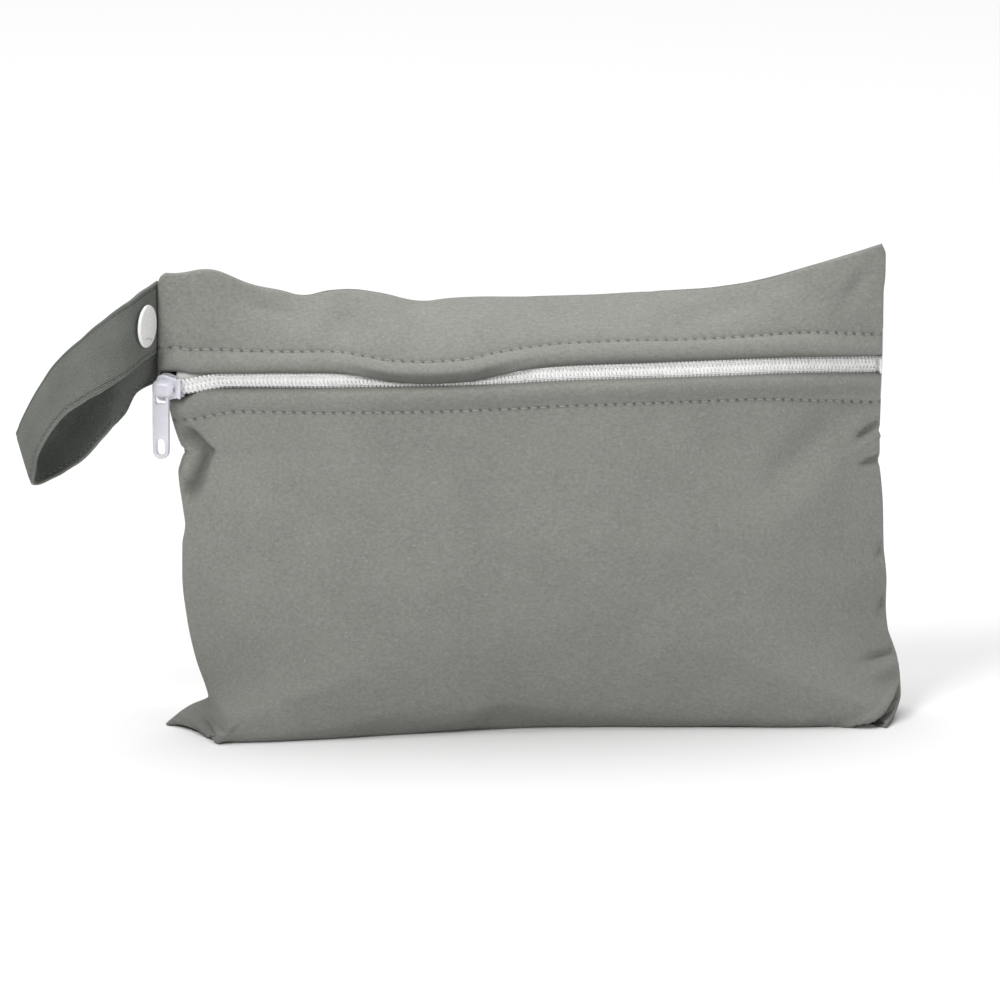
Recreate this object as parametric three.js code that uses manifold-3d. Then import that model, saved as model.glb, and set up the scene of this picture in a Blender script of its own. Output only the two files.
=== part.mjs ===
import * as THREE from 'three';
import Module from 'manifold-3d';
import { mergeVertices } from 'three/addons/utils/BufferGeometryUtils.js';

// A zipped pouch of soft cloth with a strap loop, stuffed and standing on its flattened bottom.
// Lengths are in millimetres. X runs along the width, the zipped front faces -Y and +Z is up.
// The origin is on the floor under the middle of the bag.

// Driving dimensions of the bag
const BAG_WIDTH = 260; // side seam to side seam, laid flat
const BAG_DROP = 190; // top seam to bottom seam, laid flat
const STAND_HEIGHT = 152.5; // floor to top seam at mid width, as it stands
const FRONT_DEPTH = 34; // how far the front bulges out from the side seams
const BACK_DEPTH = 28; // the same at the back
const CLOTH = 1.2; // wall of the cloth
const GAP = 0.3; // room left between neighbouring pieces
const BASE_SEAM_FORE = 3; // the bottom seam runs this far in front of the origin

// Driving dimensions of the zip
const ZIP_DOWN = 41.5; // top seam to the middle of the zip, along the cloth
const ZIP_OPENING = 5.8; // width of the slot between the two folded edges
const ZIP_RECESS = 2.5; // middle of the coil below the face of the cloth
const COIL_WIDTH = 5.2; // both halves together
const COIL_THICK = 2;
const TAPE_THICK = 0.6;
const TAPE_WIDTH = 10; // each tape, from the coil outwards
const TAPE_CLEARANCE = 0.8; // the tape's face behind the inside of the cloth
const TAPE_BESIDE = 0.75; // the coil to the tape's edge, along the cloth
const TAPE_START = 0.055; // share of the coil's length before the tapes begin, behind the parted edges
const STITCH_DOWN = 9.3; // folded edge to its line of stitches
const WELT_PUFF = 1.1; // how far the cloth between edge and stitches stands out

// Driving dimensions of the slider and its tab
const SLIDER_INSET = 2.8; // side seam to the middle of the slider
const SLIDER_DROP = 1; // the slider sags this far below the zip's middle line
const SLIDER_LENGTH = 9.2;
const SLIDER_WIDTH = 9.4;
const SLIDER_TAIL_WIDTH = 6.6;
const SLIDER_ROUND = 2.7; // radius of the rounded left end's corners
const SLIDER_PLATE = 1.1;
const SLIDER_PLAY = 0.06; // spare room over the coil on each side
const SLIDER_RIB = 1.1; // length of the raised rib at the tail
const SLIDER_RIB_RISE = 0.5;
const SLIDER_HOOK = 0.3; // how far the tail's corners stand out
const SLIDER_HOOK_LENGTH = 1.6;
const WEDGE_INSET = 0.4;
const WEDGE_LENGTH = 2;
const FUSE = 0.2; // overlap of joined parts of the slider
const SLIDER_YAW = 25; // degrees that the slider is turned to the left
const WEDGE_WIDTH = 1.8;
const BRIDGE_WIDTH = 3;
const BRIDGE_WALL = 1.1;
const BRIDGE_INSET = 2.2; // the bridge's middle from the left end of the slider
const TAB_LENGTH = 25.4; // pivot to lower end
const TAB_WIDTH = 6;
const TAB_THICK = 1.2;
const TAB_CLEARANCE = 0.4;
const TAB_HOLE_WIDTH = 3.1;
const TAB_HOLE_LENGTH = 5.8;
const TAB_ROUND = 1; // corners of the tab's upper end
const RING_ROUND = 0.6; // corners of the ring's opening
const TAB_HOLE_RIM = 1.5; // lower end of the tab to the hole

// Driving dimensions of the strap and its snap
const STRAP_WIDTH = 25.5;
const STRAP_THICK = 1.6;
const STRAP_REACH = 50; // side seam to the far end of the loop
const STRAP_RISE = 146; // height of the strap's root above the floor
const ROOT_DOWN = 0.1; // down share of the root's place on the side seam
const SNAP_DIAMETER = 15.2;
const SNAP_CAP_THICK = 1.7;
const FASTENER_DIAMETER = 9;

const HALF_WIDTH = BAG_WIDTH / 2;
const HALF_SEAM = CLOTH + GAP / 2;

const FRONT_FOLD_OUT = BASE_SEAM_FORE / FRONT_DEPTH;

// Each row is a section of the front panel, from the top seam to the bottom seam.
// down is a share of BAG_DROP, out and corner are shares of FRONT_DEPTH at mid width and near
// the side, up is a share of STAND_HEIGHT, run is the part of the half width over which the
// bulge falls away to the seam, and curl is the power of that fall.
const FRONT_SECTIONS = [
  { down: 0, out: 0, corner: 0, up: 1, run: 1, curl: 2.6 },
  { down: 0.053, out: 0.26, corner: 0.26, up: 0.98, run: 1, curl: 2.6 },
  { down: 0.105, out: 0.52, corner: 0.5, up: 0.952, run: 1, curl: 2.6 },
  { down: 0.158, out: 0.75, corner: 0.73, up: 0.92, run: 1, curl: 2.6 },
  { down: 0.205, out: 0.92, corner: 0.9, up: 0.878, run: 1, curl: 2.6 },
  { down: 0.237, out: 0.975, corner: 0.96, up: 0.845, run: 1, curl: 2.6 },
  { down: 0.284, out: 1, corner: 1, up: 0.788, run: 1, curl: 2.6 },
  { down: 0.395, out: 1, corner: 1, up: 0.652, run: 1, curl: 2.5 },
  { down: 0.526, out: 0.96, corner: 0.98, up: 0.49, run: 1, curl: 2.5 },
  { down: 0.658, out: 0.9, corner: 0.95, up: 0.326, run: 0.9, curl: 2.4 },
  { down: 0.763, out: 0.84, corner: 0.92, up: 0.196, run: 0.6, curl: 2.2 },
  { down: 0.842, out: 0.79, corner: 0.9, up: 0.1, run: 0.32, curl: 2 },
  { down: 0.884, out: 0.75, corner: 0.93, up: 0.052, run: 0.22, curl: 1.8 },
  { down: 0.91, out: 0.69, corner: 0.93, up: 0.025, run: 0.18, curl: 1.6 },
  { down: 0.93, out: 0.61, corner: 0.9, up: 0.008, run: 0.16, curl: 1.5 },
  { down: 0.947, out: 0.52, corner: 0.82, up: 0, run: 0.15, curl: 1.4 },
  { down: 1, out: FRONT_FOLD_OUT, corner: FRONT_FOLD_OUT, up: 0, run: 0.15, curl: 1.3 },
];

const BACK_FOLD_OUT = -BASE_SEAM_FORE / BACK_DEPTH;

// The same for the back panel, with BACK_DEPTH.
const BACK_SECTIONS = [
  { down: 0, out: 0, corner: 0, up: 1, run: 1, curl: 2.6 },
  { down: 0.053, out: 0.3, corner: 0.29, up: 0.965, run: 1, curl: 2.6 },
  { down: 0.105, out: 0.54, corner: 0.52, up: 0.917, run: 1, curl: 2.6 },
  { down: 0.158, out: 0.71, corner: 0.7, up: 0.86, run: 1, curl: 2.6 },
  { down: 0.237, out: 0.87, corner: 0.86, up: 0.766, run: 1, curl: 2.6 },
  { down: 0.368, out: 0.98, corner: 0.97, up: 0.605, run: 1, curl: 2.5 },
  { down: 0.5, out: 1, corner: 1, up: 0.44, run: 1, curl: 2.5 },
  { down: 0.63, out: 0.97, corner: 0.99, up: 0.276, run: 0.9, curl: 2.4 },
  { down: 0.737, out: 0.93, corner: 0.97, up: 0.145, run: 0.6, curl: 2.2 },
  { down: 0.79, out: 0.89, corner: 0.95, up: 0.08, run: 0.34, curl: 2 },
  { down: 0.826, out: 0.83, corner: 0.91, up: 0.036, run: 0.24, curl: 1.8 },
  { down: 0.85, out: 0.75, corner: 0.85, up: 0.012, run: 0.19, curl: 1.6 },
  { down: 0.87, out: 0.66, corner: 0.77, up: 0, run: 0.16, curl: 1.5 },
  { down: 1, out: BACK_FOLD_OUT, corner: BACK_FOLD_OUT, up: 0, run: 0.15, curl: 1.3 },
];

// The side seams from the top corner to the tip of the bottom corner.
// reach is a share of the half width, fore of FRONT_DEPTH and up of STAND_HEIGHT.
const LEFT_SEAM = [
  { down: 0, reach: 0.988, fore: 0, up: 1.072 },
  { down: 0.053, reach: 1, fore: 0, up: 1.012 },
  { down: 0.18, reach: 1.004, fore: 0, up: 0.852 },
  { down: 0.218, reach: 0.985, fore: 0, up: 0.815 },
  { down: 0.26, reach: 0.955, fore: 0, up: 0.775 },
  { down: 0.395, reach: 0.95, fore: 0, up: 0.61 },
  { down: 0.45, reach: 0.938, fore: 0, up: 0.545 },
  { down: 0.526, reach: 0.937, fore: 0, up: 0.45 },
  { down: 0.658, reach: 0.93, fore: 0, up: 0.295 },
  { down: 0.763, reach: 0.905, fore: 0, up: 0.17 },
  { down: 0.842, reach: 0.872, fore: 0, up: 0.085 },
  { down: 0.884, reach: 0.876, fore: 0, up: 0.053 },
  { down: 0.92, reach: 0.908, fore: 0, up: 0.033 },
  { down: 0.958, reach: 0.95, fore: 0, up: 0.02 },
  { down: 1, reach: 0.99, fore: 0, up: 0.006 },
];
const RIGHT_SEAM = [
  { down: 0, reach: 1.002, fore: 0, up: 1.106 },
  { down: 0.1, reach: 0.998, fore: 0, up: 0.99 },
  { down: 0.218, reach: 0.996, fore: 0, up: 0.83 },
  { down: 0.395, reach: 0.988, fore: 0, up: 0.61 },
  { down: 0.526, reach: 0.992, fore: 0, up: 0.45 },
  { down: 0.658, reach: 1.006, fore: 0, up: 0.295 },
  { down: 0.763, reach: 1.026, fore: 0.04, up: 0.17 },
  { down: 0.842, reach: 1.042, fore: 0.11, up: 0.09 },
  { down: 0.895, reach: 1.04, fore: 0.19, up: 0.05 },
  { down: 0.947, reach: 1.016, fore: 0.3, up: 0.02 },
  { down: 1, reach: 0.98, fore: 0.42, up: 0.006 },
];

// Rises and dips of the top edge: at and spread are shares of the half width, rise of STAND_HEIGHT.
const TOP_EDGE_WAVES = [
  { at: -0.9, rise: 0.1, spread: 0.09 },
  { at: -0.62, rise: -0.014, spread: 0.05 },
  { at: -0.47, rise: 0.015, spread: 0.11 },
  { at: -0.3, rise: -0.008, spread: 0.06 },
  { at: 0.62, rise: -0.012, spread: 0.16 },
];

// How far the front's bottom fold is lifted off the floor, as a share of STAND_HEIGHT.
const BOTTOM_LIFT = [
  { across: -1, lift: 0 },
  { across: -0.8, lift: 0.002 },
  { across: -0.55, lift: 0.012 },
  { across: -0.32, lift: 0.011 },
  { across: -0.17, lift: 0.022 },
  { across: 0, lift: 0.014 },
  { across: 0.3, lift: 0.008 },
  { across: 0.65, lift: 0.006 },
  { across: 0.82, lift: 0.01 },
  { across: 1, lift: 0 },
];

// How far the upper folded edge hangs over the zip, as a share of ZIP_OPENING.
const UPPER_EDGE_DROOP = [
  { across: -1, droop: 0 },
  { across: -0.56, droop: 0 },
  { across: -0.4, droop: 0.6 },
  { across: -0.29, droop: 0.8 },
  { across: -0.2, droop: 0.72 },
  { across: -0.08, droop: 0.22 },
  { across: 0.04, droop: 0 },
  { across: 1, droop: 0 },
];

// Dents (depth above 0) and ridges of the front. across is a share of the half width, down of
// BAG_DROP, long and broad are shares of the half width, depth of FRONT_DEPTH, turn is in degrees.
const FRONT_DENTS = [
  { across: -0.9, down: 0.39, long: 0.13, broad: 0.035, turn: 75, depth: 0.09 },
  { across: -0.82, down: 0.48, long: 0.1, broad: 0.07, turn: 20, depth: -0.06 },
  { across: 0.78, down: 0.4, long: 0.22, broad: 0.07, turn: -50, depth: 0.06 },
  { across: 0.88, down: 0.93, long: 0.1, broad: 0.035, turn: 28, depth: 0.1 },
  { across: -0.5, down: 0.09, long: 0.09, broad: 0.06, turn: 80, depth: 0.07 },
  { across: -0.36, down: 0.1, long: 0.09, broad: 0.05, turn: 100, depth: -0.05 },
  { across: 0.9, down: 0.07, long: 0.07, broad: 0.04, turn: 60, depth: 0.07 },
];
const BACK_DENTS = [
  { across: -0.55, down: 0.35, long: 0.3, broad: 0.09, turn: -35, depth: 0.07 },
  { across: 0.5, down: 0.42, long: 0.28, broad: 0.08, turn: 40, depth: 0.06 },
  { across: 0.1, down: 0.16, long: 0.2, broad: 0.07, turn: 5, depth: -0.05 },
];

// The middle line of the strap from its near root round the loop to its far root.
// out, fore and up are shares of STRAP_REACH, up measured from STRAP_RISE, and tilt is how far
// the upper edge leans back, in degrees, with lean its turn to the left.
const STRAP_STATIONS = [
  { name: 'near root', out: 0.012, fore: 0.032, up: 0.03, tilt: 0, lean: 0 },
  { name: 'near snap', out: 0.092, fore: 0.168, up: 0.012, tilt: 0, lean: 0 },
  { name: 'near shoulder', out: 0.172, fore: 0.28, up: -0.024, tilt: 3, lean: 0 },
  { name: 'near 1', out: 0.278, fore: 0.352, up: -0.084, tilt: 13, lean: 0 },
  { name: 'near 2', out: 0.395, fore: 0.372, up: -0.162, tilt: 30, lean: 0 },
  { name: 'near 3', out: 0.538, fore: 0.34, up: -0.268, tilt: 45, lean: 1 },
  { name: 'near 4', out: 0.684, fore: 0.26, up: -0.41, tilt: 52, lean: 1 },
  { name: 'near 5', out: 0.778, fore: 0.17, up: -0.556, tilt: 56, lean: 2 },
  { name: 'near 6', out: 0.862, fore: 0.06, up: -0.745, tilt: 60, lean: 7 },
  { name: 'near 7', out: 0.902, fore: -0.04, up: -0.905, tilt: 57, lean: 13 },
  { name: 'bend', out: 0.908, fore: -0.115, up: -0.98, tilt: 55, lean: 15 },
  { name: 'far 1', out: 0.872, fore: -0.17, up: -1.004, tilt: 57, lean: 15 },
  { name: 'far 2', out: 0.782, fore: -0.18, up: -0.965, tilt: 55, lean: 10 },
  { name: 'far 3', out: 0.66, fore: -0.13, up: -0.882, tilt: 50, lean: 5 },
  { name: 'far 4', out: 0.545, fore: -0.03, up: -0.775, tilt: 44, lean: 3 },
  { name: 'far 5', out: 0.428, fore: 0.11, up: -0.6, tilt: 36, lean: 3 },
  { name: 'far 6', out: 0.35, fore: 0.235, up: -0.45, tilt: 20, lean: 5 },
  { name: 'far shoulder', out: 0.272, fore: 0.27, up: -0.335, tilt: 5, lean: 6 },
  { name: 'far snap', out: 0.16, fore: 0.118, up: -0.2, tilt: 0, lean: 5 },
  { name: 'far root', out: 0.014, fore: -0.034, up: -0.185, tilt: 0, lean: 0 },
];

// Mesh fineness
const PANEL_COLUMNS = 34;
const UPPER_ROWS = 7;
const LOWER_ROWS = 19;
const BACK_ROWS = 24;
const ZIP_STEPS = 34;
const STRAP_STEPS = 3; // steps between two stations
const CAP_SIDES = 24;
const FASTENER_SIDES = 20;
const PLATE_CURVE_STEPS = 7;
const BRIDGE_CURVE_STEPS = 5;

const CLOTH_GREY = new THREE.MeshStandardMaterial({ color: 0x8a8c85, roughness: 0.95, metalness: 0 });
const STRAP_GREY = new THREE.MeshStandardMaterial({ color: 0x757d76, roughness: 0.9, metalness: 0 });
const ZIP_WHITE = new THREE.MeshStandardMaterial({ color: 0xe9e9e6, roughness: 0.6, metalness: 0 });
const SLIDER_WHITE = new THREE.MeshStandardMaterial({ color: 0xdfdfe6, roughness: 0.35, metalness: 0 });
const SNAP_WHITE = new THREE.MeshStandardMaterial({ color: 0xf0f0ed, roughness: 0.3, metalness: 0 });

const wasm = await Module();
wasm.setup();

const mix = (a, b, t) => a + (b - a) * t;
const clamp01 = (t) => Math.min(Math.max(t, 0), 1);
const smooth = (t) => clamp01(t) ** 2 * (3 - 2 * clamp01(t));
const bell = (t) => Math.exp(-t * t);

// A smooth curve through a table's column that never overshoots its rows (monotone cubic).
function column(rows, along, name, at) {
  const last = rows.length - 1;
  if (at <= rows[0][along]) return rows[0][name];
  if (at >= rows[last][along]) return rows[last][name];
  const k = rows.findIndex((row) => row[along] > at) - 1;
  const slope = (i) => (rows[i + 1][name] - rows[i][name]) / (rows[i + 1][along] - rows[i][along]);
  const tangent = (i) => {
    if (i === 0) return slope(0);
    if (i === last) return slope(last - 1);
    const before = slope(i - 1);
    const after = slope(i);
    return before * after <= 0 ? 0 : (2 * before * after) / (before + after);
  };
  const step = rows[k + 1][along] - rows[k][along];
  const t = (at - rows[k][along]) / step;
  const start = (1 + 2 * t) * (1 - t) ** 2 * rows[k][name] + t * (1 - t) ** 2 * step * tangent(k);
  const end = t * t * (3 - 2 * t) * rows[k + 1][name] + t * t * (t - 1) * step * tangent(k + 1);
  return start + end;
}

function seamPoint(seam, side, down) {
  return new THREE.Vector3(
    side * HALF_WIDTH * column(seam, 'down', 'reach', down),
    -FRONT_DEPTH * column(seam, 'down', 'fore', down),
    STAND_HEIGHT * column(seam, 'down', 'up', down),
  );
}

// How full the bag is between its side seams: 1 in the middle and 0 at a seam.
function fullness(across, run, curl) {
  const fall = clamp01((Math.abs(across) - 1 + run) / run);
  return 1 - fall ** curl;
}

// Sum of a table's dents at a place on the cloth, each a stretched and turned bell.
function dentDepth(dents, across, down) {
  let depth = 0;
  for (const dent of dents) {
    const turn = THREE.MathUtils.degToRad(dent.turn);
    const dx = across - dent.across;
    const dz = ((dent.down - down) * BAG_DROP) / HALF_WIDTH;
    const along = (dx * Math.cos(turn) + dz * Math.sin(turn)) / dent.long;
    const aside = (-dx * Math.sin(turn) + dz * Math.cos(turn)) / dent.broad;
    depth += dent.depth * bell(along) * bell(aside);
  }
  return depth * (1 - Math.abs(across) ** DENT_FADE);
}

const NEAR_SIDE = 0.85; // where a section's corner value holds
const WAVE_REACH = 0.12; // down share over which the top edge's waves die away
const FOLD_AT = 0.925; // down share of the front's bottom fold
const FOLD_SPREAD = 0.05;
const FLAT_FROM = 0.95; // from this down share on the cloth lies flat on the floor
const FLAT_RUN = 0.02;
const BASE_RUN = 0.06; // down share over which the side seams lead into the bottom seam
const BASE_CORNER = { run: 0.15, curl: 1.3 }; // how the bottom seam leads into the corners
const PARTING_START = 1; // the folded edges begin to close this far past the slider
const PARTING_RUN = 7; // and are closed after this length
const LIFT_RUN = 16; // the coil sinks from the slider's channel over this length
const SIDE_FADE = 12; // power with which the welts die away at the side seams
const DENT_FADE = 8; // the same for the dents

// A point on the outside of the front (facing = -1) or the back (facing = 1), without its dents.
function plainPoint(facing, across, down) {
  const sections = facing < 0 ? FRONT_SECTIONS : BACK_SECTIONS;
  const depth = facing < 0 ? FRONT_DEPTH : BACK_DEPTH;
  const left = seamPoint(LEFT_SEAM, -1, down);
  const right = seamPoint(RIGHT_SEAM, 1, down);
  const side = across < 0 ? left : right;
  const value = (name) => column(sections, 'down', name, down);
  const full = fullness(across, value('run'), value('curl'));
  const out = depth * mix(value('out'), value('corner'), smooth(Math.abs(across) / NEAR_SIDE));
  let up = STAND_HEIGHT * value('up');
  const nearTop = bell(down / WAVE_REACH);
  for (const wave of TOP_EDGE_WAVES) {
    up += STAND_HEIGHT * wave.rise * nearTop * bell((across - wave.at) / wave.spread);
  }
  if (facing < 0) {
    const atFold = bell((down - FOLD_AT) / FOLD_SPREAD) * smooth((FLAT_FROM - down) / FLAT_RUN);
    up += STAND_HEIGHT * atFold * column(BOTTOM_LIFT, 'across', 'lift', across);
  }
  return new THREE.Vector3(
    mix(left.x, right.x, (across + 1) / 2),
    side.y * (1 - full) + facing * (HALF_SEAM + full * out),
    mix(side.z, up, full),
  );
}

// The same with the dents, and on the front with the puffed welts beside the zip.
function clothPoint(facing, across, down) {
  const point = plainPoint(facing, across, down);
  if (facing < 0) {
    const beside = Math.abs(down * BAG_DROP - ZIP_DOWN) - ZIP_OPENING / 2;
    const welt = clamp01(beside / STITCH_DOWN);
    const inner = 1 - Math.abs(across) ** SIDE_FADE;
    point.y -= WELT_PUFF * Math.sin(Math.PI * welt) * inner;
    point.y += FRONT_DEPTH * dentDepth(FRONT_DENTS, across, down);
  } else {
    point.y -= BACK_DEPTH * dentDepth(BACK_DENTS, across, down);
  }
  return point;
}

const NORMAL_STEP = 0.004; // share of the width or drop over which a slope is measured
const ZIP_STEP = 0.02; // the same beside the zip

// Outward normal of a surface, from its steps across and down.
function normalAt(surface, facing, across, down) {
  const step = NORMAL_STEP;
  const a = surface(facing, Math.min(across + step, 1), down);
  const b = surface(facing, Math.max(across - step, -1), down);
  const c = surface(facing, across, Math.max(down - step, 0));
  const d = surface(facing, across, Math.min(down + step, 1));
  const normal = a.sub(b).cross(c.sub(d));
  return facing < 0 ? normal.normalize() : normal.normalize().negate();
}

// The surface between the front's and the back's cloth, which neither may cross.
function seamPlane(across, down) {
  const seam = across < 0 ? LEFT_SEAM : RIGHT_SEAM;
  const side = seamPoint(seam, Math.sign(across), down);
  const nearBase = smooth((down - 1 + BASE_RUN) / BASE_RUN);
  const full = fullness(across, BASE_CORNER.run, BASE_CORNER.curl);
  return mix(side.y, -BASE_SEAM_FORE * nearBase, full);
}

// Inside of the cloth behind an outside point. At a seam the wall ends square to the seam.
function lining(facing, across, down, outer, edge) {
  if (edge === 'base') return outer.clone().add(new THREE.Vector3(0, -facing * CLOTH, CLOTH));
  if (edge === 'seam') return outer.clone().add(new THREE.Vector3(0, -facing * CLOTH, 0));
  const inner = outer.clone().addScaledVector(normalAt(clothPoint, facing, across, down), -CLOTH);
  const limit = seamPlane(across, down) + facing * (GAP / 2);
  inner.y = facing < 0 ? Math.min(inner.y, limit) : Math.max(inner.y, limit);
  return inner;
}

// A closed wall from an outer and an inner grid of points, rows by columns.
function wallGeometry(outer, inner, flip) {
  const rows = outer.length;
  const columns = outer[0].length;
  const positions = [...outer.flat(), ...inner.flat()].flatMap((p) => [p.x, p.y, p.z]);
  const faces = [];
  const quad = (a, b, c, d) => faces.push(a, b, c, a, c, d);
  const front = (i, j) => i * columns + j;
  const back = (i, j) => rows * columns + i * columns + j;
  for (let i = 0; i < rows - 1; i++) {
    for (let j = 0; j < columns - 1; j++) {
      quad(front(i, j), front(i + 1, j), front(i + 1, j + 1), front(i, j + 1));
      quad(back(i, j), back(i, j + 1), back(i + 1, j + 1), back(i + 1, j));
    }
  }
  for (let j = 0; j < columns - 1; j++) {
    quad(front(0, j), front(0, j + 1), back(0, j + 1), back(0, j));
    quad(front(rows - 1, j + 1), front(rows - 1, j), back(rows - 1, j), back(rows - 1, j + 1));
  }
  for (let i = 0; i < rows - 1; i++) {
    quad(front(i + 1, 0), front(i, 0), back(i, 0), back(i + 1, 0));
    quad(front(i, columns - 1), front(i + 1, columns - 1), back(i + 1, columns - 1), back(i, columns - 1));
  }
  if (flip) {
    for (let k = 0; k < faces.length; k += 3) [faces[k + 1], faces[k + 2]] = [faces[k + 2], faces[k + 1]];
  }
  const geometry = new THREE.BufferGeometry();
  geometry.setAttribute('position', new THREE.Float32BufferAttribute(positions, 3));
  geometry.setIndex(faces);
  return geometry;
}

const SIDE_CROWDING = 0.4; // 0 spaces the columns evenly

// Columns lie closer together towards the side seams.
function acrossAt(j, columns) {
  const t = (2 * j) / columns - 1;
  return mix(t, Math.sin((Math.PI / 2) * t), SIDE_CROWDING);
}

// Cloth between two lines on the front or back; from and to give the down share at each column.
function clothPanel(facing, from, to, rows, spacing) {
  const outer = [];
  const inner = [];
  for (let i = 0; i <= rows; i++) {
    const outerRow = [];
    const innerRow = [];
    for (let j = 0; j <= PANEL_COLUMNS; j++) {
      const across = acrossAt(j, PANEL_COLUMNS);
      const down = mix(from(across), to(across), spacing(i / rows));
      const point = clothPoint(facing, across, down);
      const atSide = j === 0 || j === PANEL_COLUMNS;
      const edge = down === 1 ? 'base' : atSide || down === 0 ? 'seam' : 'none';
      outerRow.push(point);
      innerRow.push(lining(facing, across, down, point, edge));
    }
    outer.push(outerRow);
    inner.push(innerRow);
  }
  return wallGeometry(outer, inner, facing > 0);
}

// Beside the slider the folded edges part to let it sit between them: 1 there and 0 further on.
function besideSlider(across) {
  const fromSlider = (across + 1) * HALF_WIDTH - SLIDER_INSET - SLIDER_LENGTH / 2;
  return 1 - smooth((fromSlider - PARTING_START) / PARTING_RUN);
}

const parting = (across) => (SLIDER_WIDTH / 2 + 2 * GAP - ZIP_OPENING / 2) * besideSlider(across);
const sag = (across) => SLIDER_DROP * besideSlider(across);

// The down share at a true distance above the zip's middle line (below it if negative).
function besideZip(across, above) {
  const middle = ZIP_DOWN / BAG_DROP;
  const upper = plainPoint(-1, across, middle - ZIP_STEP);
  const span = upper.distanceTo(plainPoint(-1, across, middle + ZIP_STEP));
  return middle - (above * 2 * ZIP_STEP) / span;
}

function upperEdge(across) {
  const droop = ZIP_OPENING * column(UPPER_EDGE_DROOP, 'across', 'droop', across);
  return besideZip(across, ZIP_OPENING / 2 + parting(across) - droop);
}

const lowerEdge = (across) => besideZip(across, -ZIP_OPENING / 2 - parting(across) - sag(across));
const topSeam = () => 0;
const baseSeam = () => 1;
const evenly = (t) => t;

const FOLD_CROWDING = 0.55;

// Rows of the large panels lie closer together round the bottom fold.
const towardsFold = (t) => mix(t, Math.sin((Math.PI / 2) * t), FOLD_CROWDING);

// The middle line of the zip, on or behind the face of the front.
const zipAcross = (t) => {
  const start = -1 + (2 * (SLIDER_INSET + SLIDER_LENGTH / 2 + 4 * GAP)) / BAG_WIDTH;
  const end = 1 - (2 * (CLOTH + 2 * GAP)) / BAG_WIDTH;
  return mix(start, end, t);
};

// Near the slider the coil rises to the slider's channel.
function coilLift(across) {
  const fromSlider = (across + 1) * HALF_WIDTH - SLIDER_INSET - SLIDER_LENGTH / 2;
  return (ZIP_RECESS + 3 * GAP) * (1 - smooth(fromSlider / LIFT_RUN));
}

// One half of the coil: a bar with a six-sided section beside the zip's middle line.
function coilGeometry(side) {
  const middle = side * (COIL_WIDTH / 4 + GAP / 4);
  const halfWidth = COIL_WIDTH / 4 - GAP / 4;
  const halfThick = COIL_THICK / 2;
  const section = [
    [-halfWidth, 0],
    [-halfWidth / 2, halfThick],
    [halfWidth / 2, halfThick],
    [halfWidth, 0],
    [halfWidth / 2, -halfThick],
    [-halfWidth / 2, -halfThick],
  ];
  const positions = [];
  for (let i = 0; i <= ZIP_STEPS; i++) {
    const across = zipAcross(i / ZIP_STEPS);
    const down = ZIP_DOWN / BAG_DROP;
    const centre = plainPoint(-1, across, down);
    const out = normalAt(plainPoint, -1, across, down);
    const above = plainPoint(-1, across, down - ZIP_STEP / 2).sub(centre).normalize();
    for (const [rise, thick] of section) {
      const point = centre
        .clone()
        .addScaledVector(above, middle + rise)
        .addScaledVector(out, thick - ZIP_RECESS + coilLift(across));
      positions.push(point.x, point.y, point.z);
    }
  }
  return tubeGeometry(positions, section.length, ZIP_STEPS + 1);
}

// Closes rings of points into a solid tube with flat ends.
function tubeGeometry(positions, sides, rings) {
  const faces = [];
  for (let i = 0; i < rings - 1; i++) {
    for (let k = 0; k < sides; k++) {
      const a = i * sides + k;
      const b = i * sides + ((k + 1) % sides);
      faces.push(a, a + sides, b, b, a + sides, b + sides);
    }
  }
  for (let k = 1; k < sides - 1; k++) {
    const end = (rings - 1) * sides;
    faces.push(0, k, k + 1, end, end + k + 1, end + k);
  }
  const geometry = new THREE.BufferGeometry();
  geometry.setAttribute('position', new THREE.Float32BufferAttribute(positions, 3));
  geometry.setIndex(faces);
  return geometry;
}

// A tape runs behind the cloth from the coil outwards.
function tapeGeometry(side) {
  const across = (j) => mix(zipAcross(TAPE_START), zipAcross(1), j / ZIP_STEPS);
  const outer = [];
  const inner = [];
  for (let i = 0; i <= 2; i++) {
    const beside = COIL_WIDTH / 2 + TAPE_BESIDE + (TAPE_WIDTH * i) / 2;
    const outerRow = [];
    const innerRow = [];
    for (let j = 0; j <= ZIP_STEPS; j++) {
      const down = besideZip(across(j), side * beside);
      const face = plainPoint(-1, across(j), down);
      const out = normalAt(plainPoint, -1, across(j), down);
      outerRow.push(face.clone().addScaledVector(out, -(CLOTH + TAPE_CLEARANCE)));
      innerRow.push(face.clone().addScaledVector(out, -(CLOTH + TAPE_CLEARANCE + TAPE_THICK)));
    }
    outer.push(outerRow);
    inner.push(innerRow);
  }
  return wallGeometry(outer, inner, side > 0);
}

function toSolid(geometry) {
  geometry.deleteAttribute('normal');
  geometry.deleteAttribute('uv');
  const merged = mergeVertices(geometry, 1e-4);
  const mesh = new wasm.Mesh({
    numProp: 3,
    vertProperties: merged.attributes.position.array,
    triVerts: new Uint32Array(merged.index.array),
  });
  return new wasm.Manifold(mesh);
}

function toGeometry(solid) {
  const mesh = solid.getMesh();
  const geometry = new THREE.BufferGeometry();
  geometry.setAttribute('position', new THREE.BufferAttribute(mesh.vertProperties, 3));
  geometry.setIndex(new THREE.BufferAttribute(mesh.triVerts, 1));
  return geometry;
}

function box(x0, x1, y0, y1, z0, z1) {
  const geometry = new THREE.BoxGeometry(x1 - x0, y1 - y0, z1 - z0);
  geometry.translate((x0 + x1) / 2, (y0 + y1) / 2, (z0 + z1) / 2);
  return geometry;
}

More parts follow.
